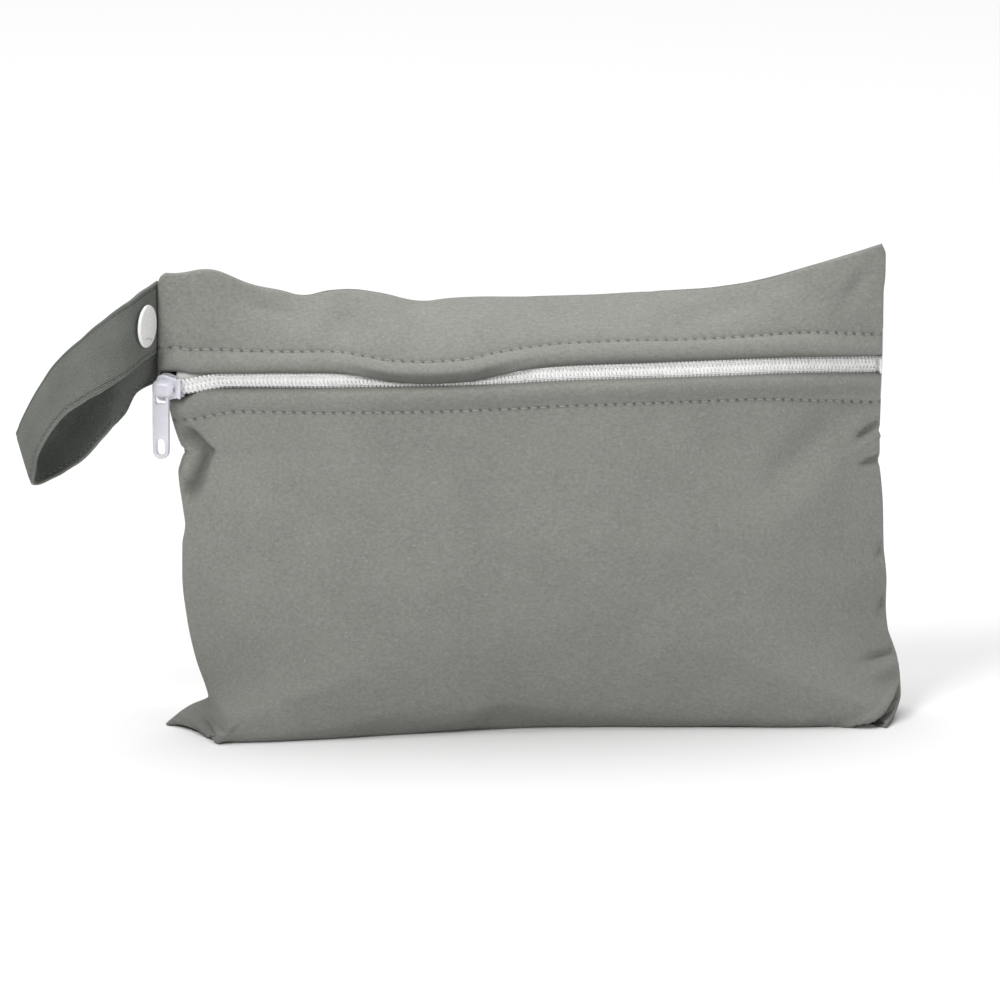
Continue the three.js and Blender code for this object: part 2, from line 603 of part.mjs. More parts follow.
// An outline in the X-Z plane, made a plate between two values of Y.
function plate(outline, y0, y1) {
  const shape = { depth: y1 - y0, bevelEnabled: false, curveSegments: PLATE_CURVE_STEPS };
  const geometry = new THREE.ExtrudeGeometry(outline, shape);
  geometry.rotateX(Math.PI / 2);
  geometry.translate(0, y1, 0);
  return geometry;
}

// Heights in the slider's own frame, where Y = 0 is the middle of its channel and -Y is outwards.
const CHANNEL_HALF = COIL_THICK / 2 + GAP + SLIDER_PLAY;
const SLIDER_FACE = CHANNEL_HALF + SLIDER_PLATE;
const PIVOT_OUT = SLIDER_FACE + TAB_CLEARANCE + TAB_THICK / 2;
const BRIDGE_HALF = TAB_THICK / 2 + TAB_CLEARANCE + BRIDGE_WALL;
const BRIDGE_X = -SLIDER_LENGTH / 2 + BRIDGE_INSET;

function sliderOutline() {
  const left = -SLIDER_LENGTH / 2;
  const right = SLIDER_LENGTH / 2;
  const wide = SLIDER_WIDTH / 2;
  const tail = SLIDER_TAIL_WIDTH / 2;
  const outline = new THREE.Shape();
  outline.moveTo(left, -wide + SLIDER_ROUND);
  outline.quadraticCurveTo(left, -wide, left + SLIDER_ROUND, -wide);
  outline.lineTo(right - SLIDER_HOOK_LENGTH, -tail);
  outline.lineTo(right, -tail - SLIDER_HOOK);
  outline.lineTo(right, tail + SLIDER_HOOK);
  outline.lineTo(right - SLIDER_HOOK_LENGTH, tail);
  outline.lineTo(left + SLIDER_ROUND, wide);
  outline.quadraticCurveTo(left, wide, left, wide - SLIDER_ROUND);
  outline.closePath();
  return outline;
}

// The bridge is an arch across the slider, its tunnel running along the slider.
function bridgeGeometry() {
  const rise = PIVOT_OUT + BRIDGE_HALF;
  const foot = SLIDER_FACE - SLIDER_PLATE / 2;
  const tunnel = TAB_THICK / 2 + TAB_CLEARANCE;
  const arch = new THREE.Shape();
  arch.moveTo(foot, -BRIDGE_HALF);
  arch.lineTo(rise - BRIDGE_WALL, -BRIDGE_HALF);
  arch.quadraticCurveTo(rise, -BRIDGE_HALF, rise, -BRIDGE_HALF + BRIDGE_WALL);
  arch.lineTo(rise, BRIDGE_HALF - BRIDGE_WALL);
  arch.quadraticCurveTo(rise, BRIDGE_HALF, rise - BRIDGE_WALL, BRIDGE_HALF);
  arch.lineTo(foot, BRIDGE_HALF);
  arch.lineTo(foot, tunnel);
  arch.lineTo(PIVOT_OUT + tunnel, tunnel);
  arch.lineTo(PIVOT_OUT + tunnel, -tunnel);
  arch.lineTo(foot, -tunnel);
  arch.closePath();
  const shape = { depth: BRIDGE_WIDTH, bevelEnabled: false, curveSegments: BRIDGE_CURVE_STEPS };
  const geometry = new THREE.ExtrudeGeometry(arch, shape);
  geometry.applyMatrix4(new THREE.Matrix4().set(
    0, 0, 1, BRIDGE_X - BRIDGE_WIDTH / 2,
    -1, 0, 0, 0,
    0, -1, 0, 0,
    0, 0, 0, 1,
  ));
  return geometry;
}

function sliderSolid() {
  const outline = sliderOutline();
  const top = toSolid(plate(outline, -SLIDER_FACE, -CHANNEL_HALF));
  const bottom = toSolid(plate(outline, CHANNEL_HALF, SLIDER_FACE));
  const left = -SLIDER_LENGTH / 2 + WEDGE_INSET;
  const half = CHANNEL_HALF + FUSE;
  const wedge = toSolid(box(left, left + WEDGE_LENGTH, -half, half, -WEDGE_WIDTH / 2, WEDGE_WIDTH / 2));
  const right = SLIDER_LENGTH / 2;
  const tail = SLIDER_TAIL_WIDTH / 2 + SLIDER_HOOK;
  const rib = toSolid(box(right - SLIDER_RIB, right, -SLIDER_FACE - SLIDER_RIB_RISE, -half, -tail, tail));
  const bridge = toSolid(bridgeGeometry());
  return top.add(bottom).add(wedge).add(rib).add(bridge);
}

// The tab in its own frame: the pivot at the origin, hanging down -Z.
function tabGeometry() {
  const wide = TAB_WIDTH / 2;
  const bar = TAB_THICK / 2;
  const outline = new THREE.Shape();
  outline.moveTo(-wide, -TAB_LENGTH + wide);
  outline.absarc(0, -TAB_LENGTH + wide, wide, Math.PI, 2 * Math.PI, false);
  outline.lineTo(wide, bar - TAB_ROUND);
  outline.quadraticCurveTo(wide, bar, wide - TAB_ROUND, bar);
  outline.lineTo(-wide + TAB_ROUND, bar);
  outline.quadraticCurveTo(-wide, bar, -wide, bar - TAB_ROUND);
  outline.closePath();
  const ringHalf = BRIDGE_WIDTH / 2 + TAB_CLEARANCE;
  const ringEnd = Math.hypot(BRIDGE_HALF, BRIDGE_HALF) + TAB_CLEARANCE / 2;
  const ring = new THREE.Path();
  ring.moveTo(-ringHalf, -bar);
  ring.lineTo(-ringHalf, -ringEnd + RING_ROUND);
  ring.quadraticCurveTo(-ringHalf, -ringEnd, -ringHalf + RING_ROUND, -ringEnd);
  ring.lineTo(ringHalf - RING_ROUND, -ringEnd);
  ring.quadraticCurveTo(ringHalf, -ringEnd, ringHalf, -ringEnd + RING_ROUND);
  ring.lineTo(ringHalf, -bar);
  ring.closePath();
  const radius = TAB_HOLE_WIDTH / 2;
  const low = -TAB_LENGTH + TAB_HOLE_RIM + radius;
  const high = low + TAB_HOLE_LENGTH - TAB_HOLE_WIDTH;
  const hole = new THREE.Path();
  hole.absarc(0, low, radius, Math.PI, 2 * Math.PI, false);
  hole.absarc(0, high, radius, 0, Math.PI, false);
  hole.closePath();
  outline.holes.push(ring, hole);
  return plate(outline, -TAB_THICK / 2, TAB_THICK / 2);
}

// Strap: centre, width direction and face direction at a place along its table.
function strapCurve() {
  const root = -HALF_WIDTH * column(LEFT_SEAM, 'down', 'reach', ROOT_DOWN) - CLOTH / 2;
  const centres = STRAP_STATIONS.map(
    (row) => new THREE.Vector3(
      root - STRAP_REACH * row.out,
      -STRAP_REACH * row.fore,
      STRAP_RISE + STRAP_REACH * row.up,
    ),
  );
  return new THREE.CatmullRomCurve3(centres, false, 'centripetal');
}

function strapFrame(curve, t) {
  const rows = STRAP_STATIONS;
  const place = t * (rows.length - 1);
  const k = Math.min(Math.floor(place), rows.length - 2);
  const turn = (name) => THREE.MathUtils.degToRad(mix(rows[k][name], rows[k + 1][name], smooth(place - k)));
  const tilt = turn('tilt');
  const lean = turn('lean');
  const centre = curve.getPoint(t);
  const tangent = curve.getTangent(t);
  const flat = Math.cos(tilt);
  const wide = new THREE.Vector3(-Math.sin(lean) * flat, Math.sin(tilt), Math.cos(lean) * flat);
  const face = wide.clone().cross(tangent).normalize();
  return { centre, tangent, wide, face };
}

function strapGeometry(curve) {
  const steps = (STRAP_STATIONS.length - 1) * STRAP_STEPS;
  const outer = [[], [], []];
  const inner = [[], [], []];
  for (let i = 0; i <= steps; i++) {
    const { centre, wide, face } = strapFrame(curve, i / steps);
    for (const [row, share] of [[0, 0.5], [1, 0], [2, -0.5]]) {
      const point = centre.clone().addScaledVector(wide, share * STRAP_WIDTH);
      outer[row].push(point.clone().addScaledVector(face, STRAP_THICK / 2));
      inner[row].push(point.clone().addScaledVector(face, -STRAP_THICK / 2));
    }
  }
  return wallGeometry(outer, inner, true);
}

// Profile of a snap cap from its axis out, as shares of its radius and thickness.
const CAP_PROFILE = [
  { radius: 0, height: 0 },
  { radius: 0.92, height: 0 },
  { radius: 1, height: 0.35 },
  { radius: 0.93, height: 0.72 },
  { radius: 0.6, height: 0.93 },
  { radius: 0, height: 1 },
];

// A round cap with a low dome, its profile turned about the cap's own axis.
function capGeometry(diameter, thick) {
  const radius = diameter / 2;
  const profile = CAP_PROFILE.map((row) => new THREE.Vector2(radius * row.radius, thick * row.height));
  return new THREE.LatheGeometry(profile, CAP_SIDES);
}

// A mesh that stands on a face of the strap, its axis along the given direction.
function standOn(geometry, point, direction) {
  const upwards = new THREE.Vector3(0, 1, 0);
  geometry.applyQuaternion(new THREE.Quaternion().setFromUnitVectors(upwards, direction));
  geometry.translate(point.x, point.y, point.z);
  return geometry;
}

const bag = new THREE.Group();

function addPiece(name, geometry, material, parent = bag) {
  const mesh = new THREE.Mesh(geometry, material);
  mesh.name = name;
  parent.add(mesh);
  return mesh;
}

addPiece('front_upper_panel', clothPanel(-1, topSeam, upperEdge, UPPER_ROWS, evenly), CLOTH_GREY);
addPiece('front_lower_panel', clothPanel(-1, lowerEdge, baseSeam, LOWER_ROWS, towardsFold), CLOTH_GREY);
addPiece('back_panel', clothPanel(1, topSeam, baseSeam, BACK_ROWS, towardsFold), CLOTH_GREY);
addPiece('zip_tape_upper', tapeGeometry(1), ZIP_WHITE);
addPiece('zip_tape_lower', tapeGeometry(-1), ZIP_WHITE);
addPiece('zip_coil_upper', coilGeometry(1), ZIP_WHITE);
addPiece('zip_coil_lower', coilGeometry(-1), ZIP_WHITE);

// The slider sits at the left end of the zip, clear of the back panel behind it.
const sliderAcross = -1 + (2 * SLIDER_INSET) / BAG_WIDTH;
const sliderPlace = plainPoint(-1, sliderAcross, ZIP_DOWN / BAG_DROP);
const yaw = THREE.MathUtils.degToRad(SLIDER_YAW);
const slider = new THREE.Group();
slider.position.set(
  sliderPlace.x,
  -(SLIDER_FACE * Math.cos(yaw) + (SLIDER_LENGTH / 2) * Math.sin(yaw) + GAP),
  sliderPlace.z - SLIDER_DROP,
);
slider.rotation.z = -yaw;
bag.add(slider);
addPiece('slider_body', toGeometry(sliderSolid()), SLIDER_WHITE, slider);
const tab = new THREE.Group();
tab.position.set(BRIDGE_X, -PIVOT_OUT, 0);
slider.add(tab);
addPiece('pull_tab', tabGeometry(), SLIDER_WHITE, tab);

const strap = strapCurve();
addPiece('strap', strapGeometry(strap), STRAP_GREY);
const lastStation = STRAP_STATIONS.length - 1;
const stationAt = (name) => STRAP_STATIONS.findIndex((row) => row.name === name) / lastStation;
const snapHeight = strapFrame(strap, stationAt('near snap')).centre.z;

// A seat on a leg's face at the snap's height, clear of every bend of the strap within a radius.
// sense is 1 on the outer face of the loop and -1 inside it.
function seatOn(station, sense, radius) {
  const steps = (STRAP_STATIONS.length - 1) * STRAP_STEPS;
  const leg = strapFrame(strap, stationAt(station));
  const axis = leg.face.clone().multiplyScalar(sense);
  const seat = leg.centre.clone();
  seat.z = snapHeight;
  const first = Math.round(stationAt(station) * steps);
  let rise = STRAP_THICK / 2;
  for (let i = Math.max(first - STRAP_STEPS, 0); i <= Math.min(first + STRAP_STEPS, steps); i++) {
    const beside = strapFrame(strap, i / steps);
    for (const across of [-radius, 0, radius]) {
      const offset = beside.centre
        .clone()
        .addScaledVector(beside.wide, across)
        .addScaledVector(beside.face, (sense * STRAP_THICK) / 2)
        .sub(seat);
      const height = offset.dot(axis);
      const along = Math.abs(offset.dot(leg.tangent));
      if (along < radius) rise = Math.max(rise, height);
    }
  }
  return { point: seat.addScaledVector(axis, rise + GAP), axis };
}

const capSeat = seatOn('near snap', 1, SNAP_DIAMETER / 2);
const backCapSeat = seatOn('far snap', 1, SNAP_DIAMETER / 2);
addPiece(
  'snap_cap',
  standOn(capGeometry(SNAP_DIAMETER, SNAP_CAP_THICK), capSeat.point, capSeat.axis),
  SNAP_WHITE,
);
addPiece(
  'snap_cap_back',
  standOn(capGeometry(SNAP_DIAMETER, SNAP_CAP_THICK), backCapSeat.point, backCapSeat.axis),
  SNAP_WHITE,
);

// Between the legs the snap's socket and stud are one plain round piece.
const socketSeat = seatOn('near snap', -1, FASTENER_DIAMETER / 2);
const studSeat = seatOn('far snap', -1, FASTENER_DIAMETER / 2);
const line = studSeat.point.clone().sub(socketSeat.point).normalize();
for (const seat of [socketSeat, studSeat]) {
  const slant = Math.acos(Math.min(Math.abs(line.dot(seat.axis)), 1));
  seat.point.addScaledVector(seat.axis, (FASTENER_DIAMETER / 2) * Math.tan(slant));
}
const between = studSeat.point.clone().sub(socketSeat.point);
const fastener = new THREE.LatheGeometry(
  [
    new THREE.Vector2(0, 0),
    new THREE.Vector2(FASTENER_DIAMETER / 2, 0),
    new THREE.Vector2(FASTENER_DIAMETER / 2, between.length()),
    new THREE.Vector2(0, between.length()),
  ],
  FASTENER_SIDES,
);
addPiece('snap_fastener', standOn(fastener, socketSeat.point, between.normalize()), SNAP_WHITE);

export default bag;
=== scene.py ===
"""Looks of a small zipped cloth pouch with a strap loop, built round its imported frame.

Lengths in the tables and classes are millimetres; a mesh is scaled to metres when it is made.
X runs along the bag's width, the zipped front faces -Y and +Z is up.
"""
import logging
import math
from dataclasses import dataclass, field
from enum import Enum
from typing import Callable, NamedTuple, Sequence

import bpy
import numpy as np
from mathutils import Matrix, Vector


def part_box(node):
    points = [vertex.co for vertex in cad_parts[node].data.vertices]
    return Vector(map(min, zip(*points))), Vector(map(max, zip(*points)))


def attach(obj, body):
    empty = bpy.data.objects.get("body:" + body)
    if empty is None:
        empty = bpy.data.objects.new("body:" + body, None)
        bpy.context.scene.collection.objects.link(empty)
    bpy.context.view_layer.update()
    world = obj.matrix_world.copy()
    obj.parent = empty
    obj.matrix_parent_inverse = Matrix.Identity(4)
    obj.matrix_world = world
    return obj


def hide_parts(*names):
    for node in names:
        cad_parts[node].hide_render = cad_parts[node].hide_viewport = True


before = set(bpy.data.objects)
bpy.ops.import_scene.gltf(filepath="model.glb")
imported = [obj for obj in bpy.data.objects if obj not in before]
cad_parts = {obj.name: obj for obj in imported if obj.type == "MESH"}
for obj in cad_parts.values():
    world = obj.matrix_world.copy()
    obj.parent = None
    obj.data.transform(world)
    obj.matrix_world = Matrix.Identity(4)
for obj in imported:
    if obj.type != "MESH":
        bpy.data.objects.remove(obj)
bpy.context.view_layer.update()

log = logging.getLogger("bag")
Array = np.ndarray
MM = 0.001
LATTICE = 64
BAG = "bag"
PULL = "pull"


class Facing(Enum):
    """The two sides of the bag and the sense of Y that each looks to."""

    FRONT = -1
    BACK = 1


class Section(NamedTuple):
    """One row across a panel. down is a share of the drop, out and corner of the depth, up of the height."""

    down: float
    out: float
    corner: float
    up: float
    run: float
    curl: float


class SeamPlace(NamedTuple):
    """One place on a side seam.

    reach is a share of the half width, fore of the front depth and up of the standing height.
    """

    down: float
    reach: float
    fore: float
    up: float


class Wave(NamedTuple):
    """A rise or dip of the top edge, as shares of the half width and the standing height."""

    at: float
    rise: float
    spread: float


class Across(NamedTuple):
    """A value at a place across the bag, -1 at the left seam and 1 at the right one."""

    across: float
    value: float


class Dent(NamedTuple):
    """A turned, stretched bell pressed into the cloth; long, broad and depth are in millimetres."""

    across: float
    down: float
    long: float
    broad: float
    turn: float
    depth: float


class Corner(NamedTuple):
    """How the front's bulge falls away near a bottom corner, as in a Section."""

    down: float
    run: float
    curl: float


class Crescent(NamedTuple):
    """A valley along part of an oval round a place, in millimetres and degrees from +X towards the floor."""

    across: float
    down: float
    radius: float
    broad: float
    start: float
    end: float
    depth: float
    tall: float = 1.5


FRONT_SECTIONS = (
    Section(0, 0, 0, 1, 1, 2.6),
    Section(0.053, 0.26, 0.26, 0.98, 1, 2.6),
    Section(0.105, 0.52, 0.5, 0.952, 1, 2.6),
    Section(0.158, 0.75, 0.73, 0.92, 1, 2.6),
    Section(0.205, 0.92, 0.9, 0.878, 1, 2.6),
    Section(0.237, 0.975, 0.96, 0.845, 1, 2.6),
    Section(0.284, 1, 1, 0.788, 1, 2.6),
    Section(0.395, 1, 1, 0.652, 1, 2.5),
    Section(0.526, 0.96, 0.98, 0.49, 1, 2.5),
    Section(0.658, 0.9, 0.95, 0.326, 0.9, 2.4),
    Section(0.763, 0.84, 0.92, 0.196, 0.6, 2.2),
    Section(0.842, 0.79, 0.92, 0.1, 0.32, 2),
    Section(0.884, 0.75, 0.93, 0.052, 0.22, 1.8),
    Section(0.91, 0.69, 0.93, 0.025, 0.18, 1.6),
    Section(0.93, 0.61, 0.9, 0.008, 0.16, 1.5),
    Section(0.947, 0.52, 0.84, 0, 0.15, 1.4),
    Section(0.975, 0.3, 0.68, 0, 0.15, 1.35),
    Section(1, 0.088, 0.088, 0, 0.15, 1.3),
)
BACK_SECTIONS = (
    Section(0, 0, 0, 1, 1, 2.6),
    Section(0.053, 0.3, 0.29, 0.965, 1, 2.6),
    Section(0.105, 0.54, 0.52, 0.917, 1, 2.6),
    Section(0.158, 0.71, 0.7, 0.86, 1, 2.6),
    Section(0.237, 0.87, 0.86, 0.766, 1, 2.6),
    Section(0.368, 0.98, 0.97, 0.605, 1, 2.5),
    Section(0.5, 1, 1, 0.44, 1, 2.5),
    Section(0.63, 0.97, 0.99, 0.276, 0.9, 2.4),
    Section(0.737, 0.93, 0.97, 0.145, 0.6, 2.2),
    Section(0.79, 0.89, 0.95, 0.08, 0.34, 2),
    Section(0.826, 0.83, 0.91, 0.036, 0.24, 1.8),
    Section(0.85, 0.75, 0.85, 0.012, 0.19, 1.6),
    Section(0.87, 0.66, 0.77, 0, 0.16, 1.5),
    Section(1, -0.107, -0.107, 0, 0.15, 1.3),
)
LEFT_SEAM = (
    SeamPlace(0, 0.9736, 0, 1.075),
    SeamPlace(0.012, 0.9887, 0, 1.066),
    SeamPlace(0.03, 0.9968, 0, 1.045),
    SeamPlace(0.2, 0.9975, 0, 0.832),
    SeamPlace(0.225, 0.9827, 0, 0.808),
    SeamPlace(0.27, 0.97, 0, 0.767),
    SeamPlace(0.31, 0.9564, 0, 0.719),
    SeamPlace(0.335, 0.9456, 0, 0.69),
    SeamPlace(0.356, 0.9318, 0, 0.662),
    SeamPlace(0.363, 0.9209, 0, 0.655),
    SeamPlace(0.371, 0.929, 0, 0.645),
    SeamPlace(0.385, 0.9377, 0, 0.624),
    SeamPlace(0.4, 0.9433, 0, 0.605),
    SeamPlace(0.425, 0.9405, 0, 0.573),
    SeamPlace(0.45, 0.9357, 0, 0.545),
    SeamPlace(0.48, 0.93, 0, 0.51),
    SeamPlace(0.503, 0.9253, 0, 0.478),
    SeamPlace(0.542, 0.9336, 0, 0.43),
    SeamPlace(0.604, 0.9342, 0, 0.358),
    SeamPlace(0.695, 0.9211, 0, 0.25),
    SeamPlace(0.775, 0.8968, 0, 0.154),
    SeamPlace(0.85, 0.8713, 0, 0.09),
    SeamPlace(0.884, 0.8645, 0, 0.066),
    SeamPlace(0.905, 0.8815, 0, 0.058),
    SeamPlace(0.925, 0.9066, 0, 0.05),
    SeamPlace(0.95, 0.9367, 0, 0.035),
    SeamPlace(0.975, 0.9619, 0, 0.018),
    SeamPlace(1, 0.982, 0, 0.004),
)
RIGHT_SEAM = (
    SeamPlace(0, 0.9896, 0, 1.108),
    SeamPlace(0.02, 1.0008, 0, 1.082),
    SeamPlace(0.06, 1.0002, 0, 1.035),
    SeamPlace(0.1, 0.9956, 0, 0.99),
    SeamPlace(0.2, 0.9947, 0, 0.856),
    SeamPlace(0.3, 0.9898, 0, 0.735),
    SeamPlace(0.345, 0.9873, 0, 0.675),
    SeamPlace(0.355, 0.9834, 0, 0.662),
    SeamPlace(0.368, 0.9875, 0, 0.645),
    SeamPlace(0.395, 0.9878, 0, 0.61),
    SeamPlace(0.408, 0.983, 0, 0.593),
    SeamPlace(0.425, 0.9881, 0, 0.575),
    SeamPlace(0.5, 0.9979, 0, 0.485),
    SeamPlace(0.575, 1.0007, 0, 0.39),
    SeamPlace(0.65, 1.0094, 0, 0.305),
    SeamPlace(0.7, 1.0079, 0, 0.245),
    SeamPlace(0.745, 1.0124, 0.02, 0.193),
    SeamPlace(0.775, 1.0246, 0.04, 0.16),
    SeamPlace(0.81, 1.0369, 0.07, 0.126),
    SeamPlace(0.85, 1.0433, 0.13, 0.085),
    SeamPlace(0.895, 1.0396, 0.3, 0.052),
    SeamPlace(0.947, 1.0158, 0.62, 0.024),
    SeamPlace(1, 0.9739, 1.0, 0.006),
)
LEFT_CORNER = (
    Corner(0.763, 0.6, 2.2), Corner(0.82, 0.34, 1.9), Corner(0.86, 0.12, 1.5), Corner(0.884, 0.05, 1.2),
    Corner(0.905, 0.045, 1.05), Corner(0.93, 0.055, 1.0), Corner(0.958, 0.088, 1.0), Corner(1, 0.125, 1.0),
)
RIGHT_CORNER = (
    Corner(0.763, 0.6, 2.2), Corner(0.842, 0.3, 1.9), Corner(0.884, 0.15, 1.7), Corner(0.91, 0.12, 1.5),
    Corner(0.93, 0.12, 1.4), Corner(0.958, 0.13, 1.3), Corner(1, 0.15, 1.2),
)
TOP_EDGE_WAVES = (
    Wave(-0.9, 0.1, 0.09),
    Wave(-0.62, -0.014, 0.05),
    Wave(-0.47, 0.015, 0.11),
    Wave(-0.3, -0.008, 0.06),
    Wave(0.62, -0.012, 0.16),
)
BOTTOM_LIFT = (
    Across(-1, 0), Across(-0.8, 0.002), Across(-0.62, 0.012), Across(-0.47, 0.026), Across(-0.33, 0.014),
    Across(-0.25, 0.018), Across(-0.17, 0.038), Across(-0.1, 0.026), Across(0, 0.016), Across(0.15, 0.012),
    Across(0.3, 0.008), Across(0.65, 0.006), Across(0.82, 0.01), Across(1, 0),
)
UPPER_EDGE_DROOP = (
    Across(-1, 0), Across(-0.6, 0), Across(-0.53, 0.07), Across(-0.445, 0.48), Across(-0.404, 0.67),
    Across(-0.363, 0.81), Across(-0.281, 0.88), Across(-0.198, 0.85), Across(-0.157, 0.76),
    Across(-0.116, 0.57), Across(-0.075, 0.41), Across(-0.034, 0.26), Across(0.05, 0.07),
    Across(0.2, 0), Across(1, 0),
)
ZIP_SAG = (
    Across(-1, 0), Across(-0.75, 0.6), Across(-0.5, 1.3), Across(-0.3, 1.3), Across(-0.1, 1.0),
    Across(0.1, 0.2), Across(0.6, 0), Across(1, 1.8),
)
FRONT_DENTS = (
    Dent(0.79, 0.36, 26, 5.5, 42, 2.6),
    Dent(0.8, 0.45, 24, 8, 40, -2.2),
    Dent(0.66, 0.4, 22, 9, 48, -0.9),
    Dent(-0.8, 0.47, 9, 8, 15, -1.8),
    Dent(-0.66, 0.44, 9, 6, 60, 0.6),
    Dent(-0.5, 0.09, 11, 6, 80, 2.2),
    Dent(-0.36, 0.1, 11, 6, 100, -1.6),
    Dent(-0.71, 0.05, 9, 4, -15, 1.5),
    Dent(0.92, 0.07, 8, 4, 60, 2.2),
    Dent(-0.12, 0.1, 16, 8, 100, -1.2),
    Dent(0.5, 0.08, 22, 7, 20, 1.2),
    Dent(0.35, 0.62, 38, 13, 40, 1.2),
    Dent(-0.35, 0.55, 44, 15, -50, 1.0),
    Dent(-0.1, 0.75, 30, 9, 12, -0.8),
    Dent(-0.97, 0.93, 2.4, 1.3, -10, 2.6),
    Dent(-0.965, 0.908, 3.5, 0.7, 20, 1.6),
    Dent(-0.95, 0.955, 5, 1.0, 5, -1.6),
)
RIGHT_PUCKERS = (
    Dent(0.962, 0.35, 6, 1.2, 30, 3.0),
    Dent(0.965, 0.368, 7, 1.6, 28, -2.4),
    Dent(0.978, 0.405, 5, 1.1, 14, 2.4),
    Dent(0.978, 0.42, 5, 1.6, 14, -1.5),
    Dent(0.985, 0.59, 4, 1.7, 60, 1.6),
    Dent(0.97, 0.62, 5, 3, 60, -1.0),
    Dent(0.985, 0.7, 5, 1.7, 70, 1.6),
    Dent(0.95, 0.8, 9, 1.5, 8, 2.0),
    Dent(0.94, 0.83, 10, 3.0, 8, -1.6),
    Dent(0.93, 0.93, 11, 1.5, 36, 7.0),
    Dent(0.9, 0.912, 14, 1.5, 36, -3.0),
    Dent(0.985, 0.88, 4, 1.2, 50, 1.6),
    Dent(0.93, 0.965, 6, 1.6, 5, -1.2),
    Dent(0.965, 0.915, 4, 0.8, 55, 2.2),
)
BACK_DENTS = (
    Dent(-0.55, 0.35, 40, 12, -35, 2.0),
    Dent(0.5, 0.42, 37, 11, 40, 1.7),
    Dent(0.1, 0.16, 26, 9, 5, -1.4),
    Dent(-0.93, 0.36, 8, 3, 20, 1.4),
    Dent(0.94, 0.33, 9, 2.5, -25, 1.4),
    Dent(0.95, 0.55, 8, 2.5, -10, 1.1),
    Dent(-0.95, 0.62, 8, 2.5, 12, 1.1),
)
LEFT_CRESCENT = Crescent(-0.995, 0.382, 6.8, 2.1, -95, 95, 4.2)


def smooth(t: Array) -> Array:
    """Eased step: 3t^2 - 2t^3, held at 0 and 1 outside."""
    t = np.clip(t, 0, 1)
    return t * t * (3 - 2 * t)


def bell(t: Array) -> Array:
    """Bell curve exp(-t^2)."""
    return np.exp(-t * t)


def squared_off(v: Array, power: float) -> Array:
    """A sine or cosine with fuller corners: its size raised to a power, its sign kept."""
    return np.sign(v) * np.abs(v) ** power


def unit(v: Array) -> Array:
    """Vectors along the last axis, scaled to length one."""
    return v / np.maximum(np.linalg.norm(v, axis=-1, keepdims=True), 1e-12)


class MonotoneCurve:
    """Smooth curve through knots that never overshoots them."""

    def __init__(self, at: Sequence[float], values: Sequence[float]) -> None:
        """Keeps the knots and their tangents, the harmonic mean of the slopes on both sides.

        Args:
            at: Rising places of the knots.
            values: Their values.
        """
        self.at = np.asarray(at, float)
        self.values = np.asarray(values, float)
        slope = np.diff(self.values) / np.diff(self.at)
        before, after = slope[:-1], slope[1:]
        total = np.where(before + after == 0, 1, before + after)
        inner = np.where(before * after > 0, 2 * before * after / total, 0)
        self.tangent = np.concatenate([slope[:1], inner, slope[-1:]])

    def __call__(self, t: Array) -> Array:
        """Cubic Hermite blend between the two knots round each t.

        Args:
            t: Places, held to the ends of the curve.

        Returns:
            The values there.
        """
        t = np.clip(t, self.at[0], self.at[-1])
        k = np.clip(np.searchsorted(self.at, t, side="right") - 1, 0, len(self.at) - 2)
        step = self.at[k + 1] - self.at[k]
        s = (t - self.at[k]) / step
        start = (1 + 2 * s) * (1 - s) ** 2 * self.values[k] + s * (1 - s) ** 2 * step * self.tangent[k]
        end = s * s * (3 - 2 * s) * self.values[k + 1] + s * s * (s - 1) * step * self.tangent[k + 1]
        return start + end


def table_curves(rows: Sequence[NamedTuple]) -> dict[str, MonotoneCurve]:
    """One curve for each named column of a table, along its first column.

    Args:
        rows: The table's rows.

    Returns:
        Curves by column name.
    """
    names = rows[0]._fields
    at = [row[0] for row in rows]
    return {name: MonotoneCurve(at, [getattr(row, name) for row in rows]) for name in names[1:]}


def soft_noise(x: Array, y: Array, seed: int) -> Array:
    """Smooth random hills of about unit size, from -1 to 1.

    Random heights stand on a unit lattice and are blended with eased steps between its points.

    Args:
        x: Places along the first axis, in lattice steps.
        y: Places along the second axis.
        seed: Which random lattice.

    Returns:
        The heights.
    """
    lattice = np.random.default_rng(seed).uniform(-1, 1, (LATTICE, LATTICE))

    def at(a: Array, b: Array) -> Array:
        """The lattice's value, which repeats past its ends."""
        return lattice[a % LATTICE, b % LATTICE]

    i, j = np.floor(x).astype(int), np.floor(y).astype(int)
    s, t = smooth(x - i), smooth(y - j)
    low = at(i, j) * (1 - s) + at(i + 1, j) * s
    high = at(i, j + 1) * (1 - s) + at(i + 1, j + 1) * s
    return low * (1 - t) + high * t


def make_mesh(name: str, points: Array, faces: Array, smooth_faces: bool = True) -> bpy.types.Object:
    """A mesh object from points in millimetres and equal-sided faces.

    Args:
        name: The piece's name.
        points: Vertices, one row each.
        faces: Vertex numbers, one face a row.
        smooth_faces: Whether the faces are shaded smooth.

    Returns:
        The object, at the origin.
    """
    mesh = bpy.data.meshes.new(name)
    points = np.ascontiguousarray(points.reshape(-1, 3) * MM, dtype=np.float32)
    faces = np.ascontiguousarray(faces, dtype=np.int32)
    sides = faces.shape[1]
    mesh.vertices.add(len(points))
    mesh.vertices.foreach_set("co", points.ravel())
    mesh.loops.add(faces.size)
    mesh.loops.foreach_set("vertex_index", faces.ravel())
    mesh.polygons.add(len(faces))
    mesh.polygons.foreach_set("loop_start", np.arange(0, faces.size, sides, dtype=np.int32))
    mesh.polygons.foreach_set("use_smooth", np.full(len(faces), smooth_faces))
    mesh.update(calc_edges=True)
    mesh.validate()
    piece = bpy.data.objects.new(name, mesh)
    bpy.context.scene.collection.objects.link(piece)
    return piece


